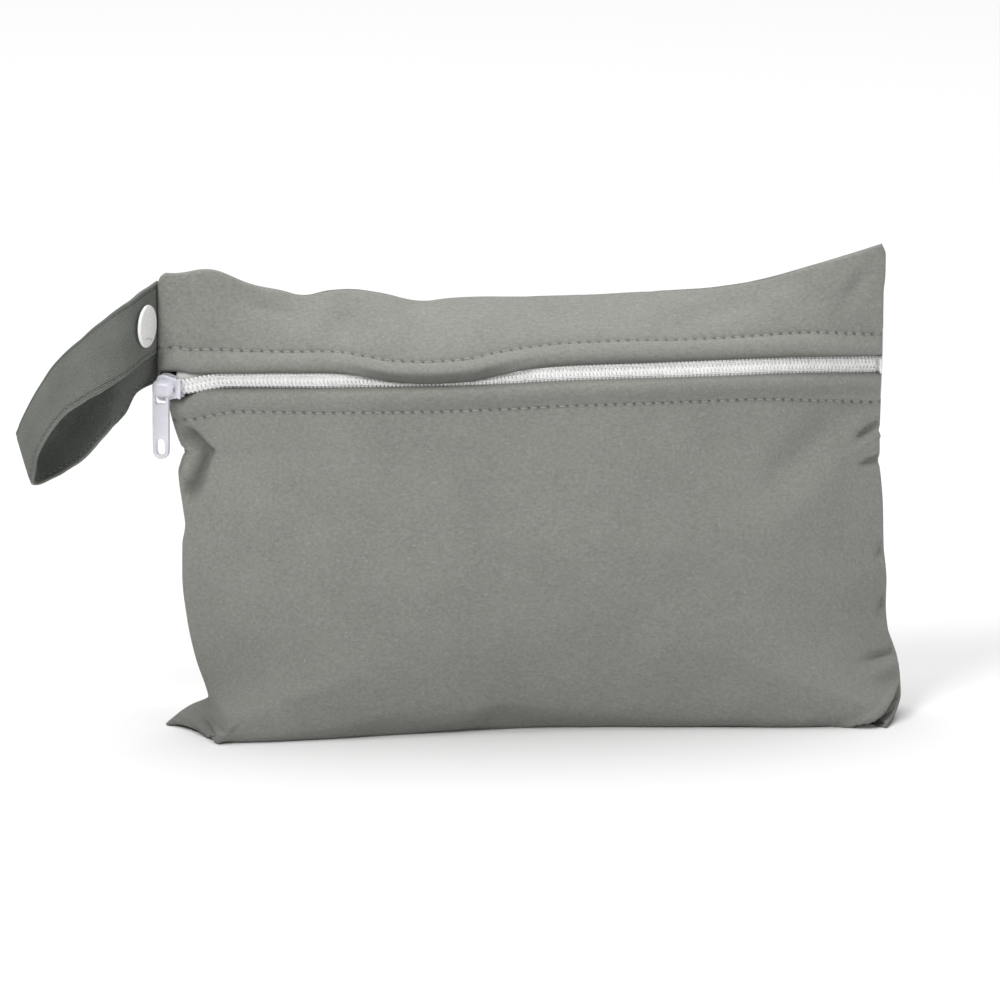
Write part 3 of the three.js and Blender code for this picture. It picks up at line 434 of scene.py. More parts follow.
def grid_faces(rows: int, columns: int, wrap: bool = False, flip: bool = False) -> Array:
    """Four-sided faces of a grid of points stored row by row.

    Args:
        rows: Number of rows of points.
        columns: Number of points in a row.
        wrap: Whether each row closes on itself.
        flip: Whether the faces turn the other way round.

    Returns:
        Vertex numbers, one face a row.
    """
    i, j = np.meshgrid(np.arange(rows - 1), np.arange(columns if wrap else columns - 1), indexing="ij")
    k = (j + 1) % columns
    quads = np.stack([i * columns + j, (i + 1) * columns + j, (i + 1) * columns + k, i * columns + k], -1)
    quads = quads.reshape(-1, 4)
    return quads[:, ::-1] if flip else quads


def add_uv(piece: bpy.types.Object, along: Array, aside: Array) -> None:
    """Stores a UV map from two values at each vertex.

    Args:
        piece: The mesh object.
        along: U at each vertex.
        aside: V at each vertex.
    """
    mesh = piece.data
    corner = np.empty(len(mesh.loops), np.int32)
    mesh.loops.foreach_get("vertex_index", corner)
    uv = np.stack([along.ravel()[corner], aside.ravel()[corner]], -1).astype(np.float32)
    layer = mesh.uv_layers.new(name="cloth")
    layer.data.foreach_set("uv", uv.ravel())


def add_shade(piece: bpy.types.Object, values: Array) -> None:
    """Stores a value from 0 to 1 at each vertex, as the attribute that a finish darkens by: painted shade on
    the cloth and the strap, a scuff on the snap's caps.

    Args:
        piece: The mesh object.
        values: The values, 0 for none.
    """
    attribute = piece.data.attributes.new("shade", "FLOAT", "POINT")
    attribute.data.foreach_set("value", values.ravel().astype(np.float32))


def thicken(piece: bpy.types.Object, wall: float, offset: float = -1) -> None:
    """Gives an open surface a wall.

    Args:
        piece: The mesh object.
        wall: Thickness in millimetres.
        offset: -1 puts the wall behind the surface, 0 on both sides.
    """
    modifier = piece.modifiers.new("wall", "SOLIDIFY")
    modifier.thickness = wall * MM
    modifier.offset = offset
    modifier.use_rim = True
    modifier.use_even_offset = False


def sweep(centres: Array, wide: Array, thick: Array, section: Array) -> Array:
    """A section carried along a path: centre + wide * first + thick * second coordinate.

    Args:
        centres: Points of the path.
        wide: Direction of the section's first coordinate at each point.
        thick: Direction of its second coordinate.
        section: Closed section, one point a row.

    Returns:
        Points, path by section by three.
    """
    first = wide[:, None] * section[None, :, 0, None]
    second = thick[:, None] * section[None, :, 1, None]
    return centres[:, None] + first + second


def circle(radius_wide: float, radius_thick: float, sides: int) -> Array:
    """An ellipse as a closed section.

    Args:
        radius_wide: Half its first size.
        radius_thick: Half its second size.
        sides: Number of points.

    Returns:
        Points, one row each.
    """
    t = np.arange(sides) * 2 * np.pi / sides
    return np.stack([radius_wide * np.cos(t), radius_thick * np.sin(t)], -1)


def dress(piece: bpy.types.Object, material: bpy.types.Material, body: str = BAG,
          replaces: Sequence[str] = ()) -> None:
    """Puts a finish on a piece and ties it to the frame.

    Args:
        piece: The object.
        material: Its finish.
        body: The body that it rides on.
        replaces: CAD nodes that it stands for.
    """
    piece.data.materials.append(material)
    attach(piece, body)
    if replaces:
        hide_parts(*replaces)
    log.info("%s: %d vertices", piece.name, len(piece.data.vertices))


class Nodes:
    """Short hand for building a material's node tree."""

    def __init__(self, name: str) -> None:
        """Starts a material with one Principled shader.

        Args:
            name: The material's name.
        """
        self.material = bpy.data.materials.new(name)
        self.material.use_nodes = True
        self.tree = self.material.node_tree
        self.shader = self.tree.nodes["Principled BSDF"]

    def add(self, kind: str, **values: object) -> bpy.types.Node:
        """A node with its properties set.

        Args:
            kind: Blender's node type.
            values: Properties by name.

        Returns:
            The node.
        """
        node = self.tree.nodes.new(kind)
        for name, value in values.items():
            setattr(node, name, value)
        return node

    def link(self, source: bpy.types.NodeSocket, target: bpy.types.NodeSocket) -> None:
        """Joins two sockets."""
        self.tree.links.new(source, target)

    def coordinates(self, scale: Sequence[float] = (1, 1, 1), turn: Sequence[float] = (0, 0, 0),
                    uv: bool = False) -> bpy.types.NodeSocket:
        """Object or UV coordinates, stretched and turned.

        Args:
            scale: Factor along each axis.
            turn: Turn about each axis, in degrees.
            uv: Whether the piece's UV map is read.

        Returns:
            The vector socket.
        """
        source = self.add("ShaderNodeTexCoord").outputs["UV" if uv else "Object"]
        mapping = self.add("ShaderNodeMapping")
        mapping.inputs["Scale"].default_value = scale
        mapping.inputs["Rotation"].default_value = [math.radians(a) for a in turn]
        self.link(source, mapping.inputs["Vector"])
        return mapping.outputs["Vector"]

    def noise(self, vector: bpy.types.NodeSocket, scale: float, detail: float = 2,
              roughness: float = 0.5) -> bpy.types.NodeSocket:
        """Noise's value at a vector.

        Args:
            vector: Where it is read.
            scale: How fine it is.
            detail: Number of finer layers.
            roughness: Weight of the finer layers.

        Returns:
            The value's socket.
        """
        node = self.add("ShaderNodeTexNoise")
        node.inputs["Scale"].default_value = scale
        node.inputs["Detail"].default_value = detail
        node.inputs["Roughness"].default_value = roughness
        self.link(vector, node.inputs["Vector"])
        return node.outputs["Fac"]

    def spread(self, value: bpy.types.NodeSocket, low: float, high: float, to_low: float = 0,
               to_high: float = 1) -> bpy.types.NodeSocket:
        """A value mapped from one range to another, held at its ends.

        Args:
            value: The value.
            low: Where the first range starts.
            high: Where it ends.
            to_low: Where the second range starts.
            to_high: Where it ends.

        Returns:
            The mapped value's socket.
        """
        node = self.add("ShaderNodeMapRange")
        for name, number in (("From Min", low), ("From Max", high), ("To Min", to_low), ("To Max", to_high)):
            node.inputs[name].default_value = number
        self.link(value, node.inputs["Value"])
        return node.outputs["Result"]

    def math(self, operation: str, a: bpy.types.NodeSocket,
             b: "bpy.types.NodeSocket | float") -> bpy.types.NodeSocket:
        """A sum, product or other operation of two values.

        Args:
            operation: Blender's name of the operation.
            a: First value.
            b: Second value, a socket or a number.

        Returns:
            The result's socket.
        """
        node = self.add("ShaderNodeMath", operation=operation)
        self.link(a, node.inputs[0])
        if isinstance(b, (int, float)):
            node.inputs[1].default_value = b
        else:
            self.link(b, node.inputs[1])
        return node.outputs[0]

    def mix(self, share: bpy.types.NodeSocket, a: "bpy.types.NodeSocket | Sequence[float]",
            b: "bpy.types.NodeSocket | Sequence[float]", blend: str = "MIX") -> bpy.types.NodeSocket:
        """Two colours mixed by a share.

        Args:
            share: 0 for the first colour and 1 for the second.
            a: First colour, a socket or three numbers.
            b: Second colour.
            blend: Blender's name of the way to mix.

        Returns:
            The mixed colour's socket.
        """
        node = self.add("ShaderNodeMix", data_type="RGBA", blend_type=blend)
        self.link(share, node.inputs["Factor"])
        for socket, value in ((node.inputs[6], a), (node.inputs[7], b)):
            if isinstance(value, bpy.types.NodeSocket):
                self.link(value, socket)
            else:
                socket.default_value = (*value, 1)
        return node.outputs[2]

    def bump(self, height: bpy.types.NodeSocket, distance: float, strength: float = 1,
             below: "bpy.types.NodeSocket | None" = None) -> bpy.types.NodeSocket:
        """A bumped normal from a height.

        Args:
            height: The height.
            distance: How much a height of 1 stands out, in millimetres.
            strength: Share of the bump that is used.
            below: A normal that it is added to.

        Returns:
            The normal's socket.
        """
        node = self.add("ShaderNodeBump")
        node.inputs["Strength"].default_value = strength
        node.inputs["Distance"].default_value = distance * MM
        self.link(height, node.inputs["Height"])
        if below is not None:
            self.link(below, node.inputs["Normal"])
        return node.outputs["Normal"]

    def colour(self, socket: bpy.types.NodeSocket) -> None:
        """Feeds the shader's base colour."""
        self.link(socket, self.shader.inputs["Base Color"])

    def normal(self, socket: bpy.types.NodeSocket) -> None:
        """Feeds the shader's normal."""
        self.link(socket, self.shader.inputs["Normal"])

    def rough(self, value: "float | bpy.types.NodeSocket") -> None:
        """Sets or feeds the shader's roughness.

        Args:
            value: A number or a socket.
        """
        if isinstance(value, (int, float)):
            self.shader.inputs["Roughness"].default_value = value
        else:
            self.link(value, self.shader.inputs["Roughness"])


@dataclass(frozen=True)
class SuedeCloth:
    """Soft matt cloth with a short nap.

    It has fine speckles and fibres brushed to the upper right; painted shade darkens its creases and its
    lowest part near the floor.
    """

    name: str = "suede_cloth"
    low: tuple[float, float, float] = (0.215, 0.215, 0.198)
    high: tuple[float, float, float] = (0.3, 0.3, 0.277)
    speck: tuple[float, float, float] = (0.47, 0.47, 0.44)
    # deep is the colour of the painted shade.
    deep: tuple[float, float, float] = (0.07, 0.072, 0.064)

    def build(self) -> bpy.types.Material:
        """Makes the material.

        Returns:
            The material.
        """
        n = Nodes(self.name)
        still = n.coordinates()
        brushed = n.coordinates(scale=(0.3, 1, 1), turn=(0, 42, 0))
        grain = n.noise(still, 900, 3, 0.62)
        cloud = n.noise(still, 42, 3, 0.55)
        fibre = n.noise(brushed, 1500, 2, 0.5)
        tone = n.math("ADD", n.math("MULTIPLY", grain, 0.5), n.math("MULTIPLY", cloud, 0.2))
        tone = n.math("ADD", tone, n.math("MULTIPLY", fibre, 0.3))
        base = n.mix(n.spread(tone, 0.36, 0.64), self.low, self.high)
        specks = n.spread(n.noise(still, 1300, 1, 0.4), 0.7, 0.8, 0, 0.5)
        base = n.mix(specks, base, self.speck)
        # Painted shade: the cloth darkens towards the floor, as the light falls off low on the bag.
        place = n.add("ShaderNodeSeparateXYZ")
        n.link(still, place.inputs["Vector"])
        base = n.mix(n.spread(place.outputs["Z"], 0.0, 0.075, 0.24, 0), base, self.deep)
        # Painted shade from the shade attribute: creases, needle holes, folded edges, the lower left ear and
        # the crescent.
        shade = n.add("ShaderNodeAttribute", attribute_name="shade").outputs["Fac"]
        n.colour(n.mix(shade, base, self.deep))
        height = n.math("ADD", n.math("MULTIPLY", grain, 0.7), n.math("MULTIPLY", fibre, 0.5))
        n.normal(n.bump(height, 0.22, 0.8))
        n.rough(n.spread(grain, 0.3, 0.7, 0.86, 0.97))
        n.shader.inputs["Sheen Weight"].default_value = 0.08
        n.shader.inputs["Sheen Roughness"].default_value = 0.55
        n.shader.inputs["Specular IOR Level"].default_value = 0.2
        return n.material


@dataclass(frozen=True)
class RibbedBand:
    """Strap cloth: fine ribs along the band, a soft mottle and painted shade in its grooves, along its hem
    and on its inner face.
    """

    name: str = "ribbed_band"
    low: tuple[float, float, float] = (0.138, 0.147, 0.131)
    high: tuple[float, float, float] = (0.225, 0.237, 0.213)
    # deep is the colour of the painted shade.
    deep: tuple[float, float, float] = (0.05, 0.055, 0.05)

    def build(self) -> bpy.types.Material:
        """Makes the material.

        Returns:
            The material.
        """
        n = Nodes(self.name)
        still = n.coordinates()
        grain = n.noise(still, 1100, 3, 0.6)
        cloud = n.noise(still, 60, 2, 0.5)
        threads = n.noise(n.coordinates(scale=(0.25, 3, 1), uv=True), 2.2, 2, 0.5)
        tone = n.math("ADD", n.math("MULTIPLY", grain, 0.35), n.math("MULTIPLY", cloud, 0.3))
        tone = n.math("ADD", tone, n.math("MULTIPLY", threads, 0.35))
        base = n.mix(n.spread(tone, 0.36, 0.64), self.low, self.high)
        # Painted shade from the shade attribute: rib grooves, the hem and the loop's inner face.
        shade = n.add("ShaderNodeAttribute", attribute_name="shade").outputs["Fac"]
        n.colour(n.mix(shade, base, self.deep))
        n.normal(n.bump(n.math("ADD", grain, threads), 0.12, 0.7))
        n.rough(0.88)
        n.shader.inputs["Sheen Weight"].default_value = 0.05
        n.shader.inputs["Specular IOR Level"].default_value = 0.25
        return n.material


@dataclass(frozen=True)
class SewingThread:
    """Twisted polyester thread."""

    name: str
    low: tuple[float, float, float]
    high: tuple[float, float, float]

    def build(self) -> bpy.types.Material:
        """Makes the material.

        Returns:
            The material.
        """
        n = Nodes(self.name)
        twist = n.noise(n.coordinates(scale=(1, 1, 1), turn=(0, 35, 0)), 3200, 1, 0.5)
        n.colour(n.mix(n.spread(twist, 0.35, 0.65), self.low, self.high))
        n.normal(n.bump(twist, 0.08, 0.8))
        n.rough(0.7)
        return n.material


@dataclass(frozen=True)
class WovenTape:
    """White herringbone tape beside the zip's coil."""

    name: str = "woven_tape"
    low: tuple[float, float, float] = (0.78, 0.78, 0.76)
    high: tuple[float, float, float] = (0.9, 0.9, 0.88)

    def build(self) -> bpy.types.Material:
        """Makes the material.

        Returns:
            The material.
        """
        n = Nodes(self.name)
        wave = n.add("ShaderNodeTexWave", wave_type="BANDS", bands_direction="DIAGONAL")
        wave.inputs["Scale"].default_value = 1.1
        wave.inputs["Distortion"].default_value = 0.6
        n.link(n.coordinates(uv=True), wave.inputs["Vector"])
        rib = wave.outputs["Fac"]
        n.colour(n.mix(rib, self.low, self.high))
        n.normal(n.bump(rib, 0.12, 0.8))
        n.rough(0.85)
        return n.material


@dataclass(frozen=True)
class NylonLine:
    """White nylon monofilament of the coil, slightly translucent, with faint dust in its grooves."""

    name: str = "nylon_line"
    low: tuple[float, float, float] = (0.86, 0.86, 0.85)
    high: tuple[float, float, float] = (0.94, 0.94, 0.93)

    def build(self) -> bpy.types.Material:
        """Makes the material.

        Returns:
            The material.
        """
        n = Nodes(self.name)
        dust = n.noise(n.coordinates(), 350, 3, 0.6)
        n.colour(n.mix(n.spread(dust, 0.35, 0.6), self.low, self.high))
        n.normal(n.bump(n.noise(n.coordinates(), 2600, 1, 0.5), 0.02, 0.5))
        n.rough(n.spread(dust, 0.3, 0.7, 0.3, 0.45))
        n.shader.inputs["Subsurface Weight"].default_value = 0.15
        n.shader.inputs["Subsurface Radius"].default_value = (0.001, 0.001, 0.001)
        return n.material


@dataclass(frozen=True)
class Enamel:
    """Painted slider: cool white, softly glossy, with small scuffs and a faint orange-peel."""

    name: str = "slider_enamel"
    low: tuple[float, float, float] = (0.66, 0.655, 0.72)
    high: tuple[float, float, float] = (0.76, 0.755, 0.82)

    def build(self) -> bpy.types.Material:
        """Makes the material.

        Returns:
            The material.
        """
        n = Nodes(self.name)
        still = n.coordinates()
        cloud = n.noise(still, 160, 3, 0.6)
        streaks = n.noise(n.coordinates(scale=(1, 1, 0.25), turn=(0, 25, 0)), 1400, 3, 0.7)
        scuff = n.spread(streaks, 0.62, 0.72, 0, 0.35)
        base = n.mix(n.spread(cloud, 0.35, 0.65), self.low, self.high)
        n.colour(n.mix(scuff, base, (0.5, 0.5, 0.54)))
        n.normal(n.bump(n.noise(still, 700, 2, 0.5), 0.03, 0.35))
        n.rough(n.spread(cloud, 0.3, 0.7, 0.26, 0.38))
        n.shader.inputs["Coat Weight"].default_value = 0.25
        n.shader.inputs["Coat Roughness"].default_value = 0.2
        return n.material


@dataclass(frozen=True)
class SnapResin:
    """Moulded white resin of the snap's caps, with fine handling marks."""

    name: str = "snap_resin"
    low: tuple[float, float, float] = (0.9, 0.9, 0.885)
    high: tuple[float, float, float] = (0.95, 0.95, 0.94)

    def build(self) -> bpy.types.Material:
        """Makes the material.

        Returns:
            The material.
        """
        n = Nodes(self.name)
        still = n.coordinates()
        cloud = n.noise(still, 220, 3, 0.6)
        marks = n.noise(n.coordinates(scale=(0.3, 1, 1.6), turn=(0, 20, 0)), 1800, 2, 0.6)
        base = n.mix(n.spread(cloud, 0.3, 0.7), self.low, self.high)
        shade = n.add("ShaderNodeAttribute", attribute_name="shade").outputs["Fac"]
        n.colour(n.mix(shade, base, (0.2, 0.2, 0.2)))
        n.normal(n.bump(marks, 0.02, 0.4))
        n.rough(n.spread(marks, 0.4, 0.7, 0.22, 0.36))
        n.shader.inputs["Coat Weight"].default_value = 0.4
        n.shader.inputs["Subsurface Weight"].default_value = 0.08
        n.shader.inputs["Subsurface Radius"].default_value = (0.001, 0.001, 0.001)
        return n.material


class Finishes:
    """Every material of the bag, made once."""

    def __init__(self) -> None:
        """Builds the materials."""
        self.cloth = SuedeCloth().build()
        self.band = RibbedBand().build()
        self.thread = SewingThread("grey_thread", (0.27, 0.27, 0.245), (0.42, 0.42, 0.39)).build()
        self.band_thread = SewingThread("band_thread", (0.12, 0.135, 0.12), (0.22, 0.24, 0.215)).build()
        self.tape = WovenTape().build()
        self.coil = NylonLine().build()
        self.enamel = Enamel().build()
        self.resin = SnapResin().build()


@dataclass
class BagForm:
    """The bag's outer surface as a function of across (-1 to 1) and down (0 to 1)."""

    width: float = 260
    drop: float = 190
    stand: float = 152.5
    front_depth: float = 34
    back_depth: float = 28
    half_seam: float = 1.35
    edge_round: float = 1.5
    near_side: float = 0.85
    wave_reach: float = 0.12
    fold_at: float = 0.925
    fold_spread: float = 0.05
    flat_from: float = 0.95
    flat_run: float = 0.02
    zip_down: float = 41.5
    zip_opening: float = 5.8
    stitch_down: float = 9.3
    stitch_pitch: float = 3.5
    welt_puff: float = 2.0
    groove: float = 0.6
    slider_inset: float = 2.8
    slider_length: float = 9.2
    opened_above: float = 1.2
    opened_below: float = 2.6
    opened_before: float = 1.5
    hole_depth: float = 0.5
    gather_depth: float = 0.1
    roll_reach: float = 2.4
    roll_depth: float = 2.4
    free_roll_depth: float = 2.6
    hung_roll_depth: float = 0.15
    curves: dict[Facing, dict[str, MonotoneCurve]] = field(init=False)

    def __post_init__(self) -> None:
        """Makes the tables' curves."""
        self.curves = {Facing.FRONT: table_curves(FRONT_SECTIONS), Facing.BACK: table_curves(BACK_SECTIONS)}
        self.seams = {-1: table_curves(LEFT_SEAM), 1: table_curves(RIGHT_SEAM)}
        self.corners = {-1: table_curves(LEFT_CORNER), 1: table_curves(RIGHT_CORNER)}
        self.lift = table_curves(BOTTOM_LIFT)["value"]
        self.droop = table_curves(UPPER_EDGE_DROOP)["value"]
        self.sag = table_curves(ZIP_SAG)["value"]

    @property
    def half_width(self) -> float:
        """Half the flat width."""
        return self.width / 2

    def seam(self, side: int, down: Array) -> Array:
        """Places on a side seam.

        Args:
            side: -1 for the left seam and 1 for the right one.
            down: Shares of the drop.

        Returns:
            Points.
        """
        curves = self.seams[side]
        x = side * self.half_width * curves["reach"](down)
        return np.stack([x, -self.front_depth * curves["fore"](down), self.stand * curves["up"](down)], -1)

    def plain(self, facing: Facing, across: Array, down: Array) -> Array:
        """The smooth surface without welts and dents.

        Between the seams the cloth bulges by 1 minus a power of the distance from the middle, and
        within a rounding's width of a seam its half thickness falls to nothing as a circle does.

        Args:
            facing: Front or back.
            across: Places across.
            down: Places down.

        Returns:
            Points.
        """
        across, down = np.broadcast_arrays(np.asarray(across, float), np.asarray(down, float))
        curves = self.curves[facing]
        depth = self.front_depth if facing is Facing.FRONT else self.back_depth
        left, right = self.seam(-1, down), self.seam(1, down)
        side = np.where((across < 0)[..., None], left, right)
        run, curl = curves["run"](down), curves["curl"](down)
        if facing is Facing.FRONT:
            low = down > LEFT_CORNER[0].down
            at_left = across < 0
            corner = {name: np.where(at_left, self.corners[-1][name](down), self.corners[1][name](down))
                      for name in ("run", "curl")}
            run, curl = np.where(low, corner["run"], run), np.where(low, corner["curl"], curl)
        fall = np.clip((np.abs(across) - 1 + run) / run, 0, 1)
        full = 1 - fall ** curl
        near = smooth(np.abs(across) / self.near_side)
        out = depth * (curves["out"](down) * (1 - near) + curves["corner"](down) * near)
        up = self.stand * curves["up"](down)
        near_top = bell(down / self.wave_reach)
        for wave in TOP_EDGE_WAVES:
            up = up + self.stand * wave.rise * near_top * bell((across - wave.at) / wave.spread)
        if facing is Facing.FRONT:
            at_fold = bell((down - self.fold_at) / self.fold_spread)
            at_fold = at_fold * smooth((self.flat_from - down) / self.flat_run)
            up = up + self.stand * at_fold * self.lift(across)
        from_edge = np.minimum((1 - np.abs(across)) * self.half_width, down * self.drop)
        inside = 1 - np.clip(from_edge / self.edge_round, 0, 1)
        half = 0.06 + (self.half_seam - 0.06) * np.sqrt(1 - inside ** 2)
        x = left[..., 0] + (right[..., 0] - left[..., 0]) * (across + 1) / 2
        y = side[..., 1] * (1 - full) + facing.value * (half + full * out)
        z = side[..., 2] + (up - side[..., 2]) * full
        return np.stack([x, y, z], -1)

    def normal(self, facing: Facing, across: Array, down: Array, step: float = 0.006) -> Array:
        """Outward normals, from the surface's steps across and down.

        Args:
            facing: Front or back.
            across: Places across.
            down: Places down.
            step: Share over which the slope is taken.

        Returns:
            Unit vectors.
        """
        across, down = np.broadcast_arrays(np.asarray(across, float), np.asarray(down, float))
        a = self.plain(facing, np.clip(across + step, -0.985, 0.985), down)
        b = self.plain(facing, np.clip(across - step, -0.985, 0.985), down)
        c = self.plain(facing, across * 0.985, np.maximum(down - step, 0.01))
        d = self.plain(facing, across * 0.985, np.minimum(np.maximum(down, 0.01) + step, 1))
        normal = unit(np.cross(a - b, c - d))
        return normal if facing is Facing.FRONT else -normal

    def beside_zip(self, across: Array, above: Array) -> Array:
        """The down share at a true distance above the zip's middle line, below it if negative.

        Args:
            across: Places across.
            above: Distances in millimetres.

        Returns:
            Shares of the drop.
        """
        middle, step = self.zip_middle(across), 0.02
        upper = self.plain(Facing.FRONT, across, middle - step)
        lower = self.plain(Facing.FRONT, across, middle + step)
        span = np.linalg.norm(upper - lower, axis=-1)
        return middle - above * 2 * step / span

    def zip_middle(self, across: Array) -> Array:
        """Down share of the zip's middle line, which sags left of the middle and at its right end."""
        return (self.zip_down + self.sag(across)) / self.drop

    def past_slider(self, across: Array) -> Array:
        """Distance to the right of the slider's tail."""
        return (across + 1) * self.half_width - self.slider_inset - self.slider_length / 2

    def beside_slider(self, across: Array) -> Array:
        """1 beside the slider, falling to 0 a few millimetres past its tail."""
        return 1 - smooth((self.past_slider(across) + self.opened_before) / 6)

    def upper_edge(self, across: Array) -> Array:
        """Down share of the upper panel's folded edge.

        Args:
            across: Places across.

        Returns:
            Shares of the drop.
        """
        opened = self.zip_opening / 2 + self.opened_above * self.beside_slider(across)
        return self.beside_zip(across, opened - self.zip_opening * self.droop(across))

    def lower_edge(self, across: Array) -> Array:
        """Down share of the lower panel's folded edge."""
        return self.beside_zip(across, -self.zip_opening / 2 - self.opened_below * self.beside_slider(across))

    def upper_stitches(self, across: Array) -> Array:
        """Distance of the upper row of stitches from its folded edge."""
        return self.stitch_down - 1.6 * smooth((across - 0.75) / 0.25)

    def lower_stitches(self, across: Array) -> Array:
        """Distance of the lower row of stitches from its folded edge.

        Args:
            across: Places across.

        Returns:
            Distances in millimetres.
        """
        near = self.opened_below * (1 - smooth((self.past_slider(across) + self.opened_before) / 18))
        near = near - self.opened_below * self.beside_slider(across)
        return self.stitch_down + 1.7 * smooth((across - 0.6) / 0.4) + near

    def dents(self, facing: Facing, across: Array, down: Array) -> Array:
        """How far the cloth stands out for its dents, ridges, puckers and soft unevenness.

        Each dent is exp(-(along/long)^2) * exp(-(aside/broad)^2) in a frame turned on the cloth.

        Args:
            facing: Front or back.
            across: Places across.
            down: Places down.

        Returns:
            Heights in millimetres.
        """
        tables = (*FRONT_DENTS, *RIGHT_PUCKERS) if facing is Facing.FRONT else BACK_DENTS
        height = np.zeros(np.broadcast(across, down).shape)
        for dent in tables:
            turn = math.radians(dent.turn)
            dx = (across - dent.across) * self.half_width
            dz = (dent.down - down) * self.drop
            along = (dx * math.cos(turn) + dz * math.sin(turn)) / dent.long
            aside = (-dx * math.sin(turn) + dz * math.cos(turn)) / dent.broad
            height = height - dent.depth * bell(along) * bell(aside)
        if facing is Facing.FRONT:
            c = LEFT_CRESCENT
            dx = (across - c.across) * self.half_width
            dz = (down - c.down) * self.drop / c.tall
            height = height - c.depth * self.crescent(across, down) + 1.2 * bell(np.hypot(dx, dz) / 4)
        x, z = across * self.half_width, down * self.drop
        seed = 11 if facing is Facing.FRONT else 23
        uneven = 0.5 * soft_noise(x / 34 + 20, z / 27 + 20, seed)
        uneven = uneven + 0.28 * soft_noise(x / 13 + 9, z / 12 + 9, seed + 1)
        uneven = uneven + 0.07 * soft_noise(x / 4.5, z / 4.5 + 30, seed + 2)
        return height + uneven * (1 - np.abs(across) ** 14)

    def crescent(self, across: Array, down: Array) -> Array:
        """How near a place is to the crescent by the left seam.

        Args:
            across: Places across.
            down: Places down.

        Returns:
            1 on the crescent's line, falling to 0.
        """
        c = LEFT_CRESCENT
        dx = (across - c.across) * self.half_width
        dz = (down - c.down) * self.drop / c.tall
        angle = np.degrees(np.arctan2(dz, dx))
        window = smooth((angle - c.start) / 40) * smooth((c.end - angle) / 30)
        return bell((np.hypot(dx, dz) - c.radius) / c.broad) * window

    def ear(self, across: Array, down: Array) -> tuple[Array, Array]:
        """The thin corner of cloth at the lower left, beside the front's bulge.

        Args:
            across: Places across.
            down: Places down.

        Returns:
            How near each place is to the ridge where the bulge ends, and how far it is on the ear.
        """
        low = smooth((down - 0.87) / 0.03)
        past = (-across - 1 + self.corners[-1]["run"](down)) * self.half_width
        return bell(past / 1.3) * low, smooth((past + 0.6) / 1.6) * low

    def surface(self, facing: Facing, across: Array, down: Array) -> tuple[Array, Array]:
        """The dressed surface and the painted shade in its creases, holes and folds.

        On the front the cloth between folded edge and stitches is puffed up, sinks to the stitches in
        a groove with a dimple at each needle hole, and rolls inwards at the folded edge.

        Args:
            facing: Front or back.
            across: Places across.
            down: Places down.

        Returns:
            Points, and a painted shade from 0 to 1 at each.
        """
        across, down = np.broadcast_arrays(np.asarray(across, float), np.asarray(down, float))
        point = self.plain(facing, across, down)
        normal = self.normal(facing, across, down)
        height = self.dents(facing, across, down)
        shade = np.zeros(across.shape)
        inner = smooth((1 - np.abs(across)) * self.half_width / 3)
        if facing is Facing.FRONT:
            upper_edge, lower_edge = self.upper_edge(across), self.lower_edge(across)
            lower = down > (upper_edge + lower_edge) / 2
            edge = np.where(lower, lower_edge, upper_edge)
            beside = np.abs(down - edge) * self.drop
            stitch_down = np.where(lower, self.lower_stitches(across), self.upper_stitches(across))
            welt = np.clip(beside / stitch_down, 0, 1)
            height = height + self.welt_puff * np.sin(np.pi * welt ** 0.8) * inner
            from_stitch = beside - stitch_down
            ease = np.exp(-np.abs(from_stitch) / 2.6)
            height = height - self.groove * ease * (0.35 + 0.65 * inner)
            along = across * self.half_width / self.stitch_pitch
            phase = np.abs(along - np.round(along)) * self.stitch_pitch
            hole = bell(phase / 0.55) * bell(from_stitch / 0.5)
            gather = np.cos(2 * np.pi * along) * bell(from_stitch / 2.4)
            height = height - self.hole_depth * hole - self.gather_depth * gather
            # Painted shade: dark needle holes and a faint dark line along the stitches.
            shade = np.maximum(0.9 * hole, 0.07 * bell(from_stitch / 0.6))
            roll = 1 - np.clip(beside / self.roll_reach, 0, 1)
            free = self.hung_roll_depth + self.free_roll_depth * (1 - smooth(self.droop(across) / 0.25))
            depth = np.where(lower, self.roll_depth, free)
            height = height - depth * (1 - np.sqrt(1 - roll ** 2 * 0.98))
            # Painted shade on the rolled folded edges.
            shade = np.maximum(shade, 0.3 * smooth(roll) ** 2)
            hang = np.where(lower, 0, np.minimum(self.droop(across) * 1.6, 1)) * smooth((5.0 - beside) / 2.6)
            height = height - 0.2 * hang * smooth((5.0 - beside) / 5)
            # Painted shade: the band under the hanging upper flap and the dark line along the upper folded
            # edge.
            shade = np.maximum(shade, 0.66 * hang)
            shade = np.maximum(shade, np.where(lower, 0, 0.6) * bell(beside / 1.1))
            # Painted shade: a darker band above the lower row of stitches, faint above the upper row.
            under = smooth((across + 0.7) / 0.5) * bell((beside - 6.3) / 2.4)
            under = under * smooth((stitch_down - beside) / 0.8)
            shade = np.maximum(shade, np.where(lower, 0.17, 0.03) * under)
            ridge, ear = self.ear(across, down)
            height = height + 1.6 * ridge
            # Painted shade on the lower left ear.
            shade = np.maximum(shade, 0.3 * ear)
            # Painted shade along the crescent valley by the left seam.
            shade = np.maximum(shade, 0.42 * self.crescent(across, down))
        floor = smooth((down - 0.94) / 0.04)
        point = point + normal * (height * (1 - 0.55 * floor))[..., None]
        point[..., 2] = np.maximum(point[..., 2], 0.02)
        return point, shade


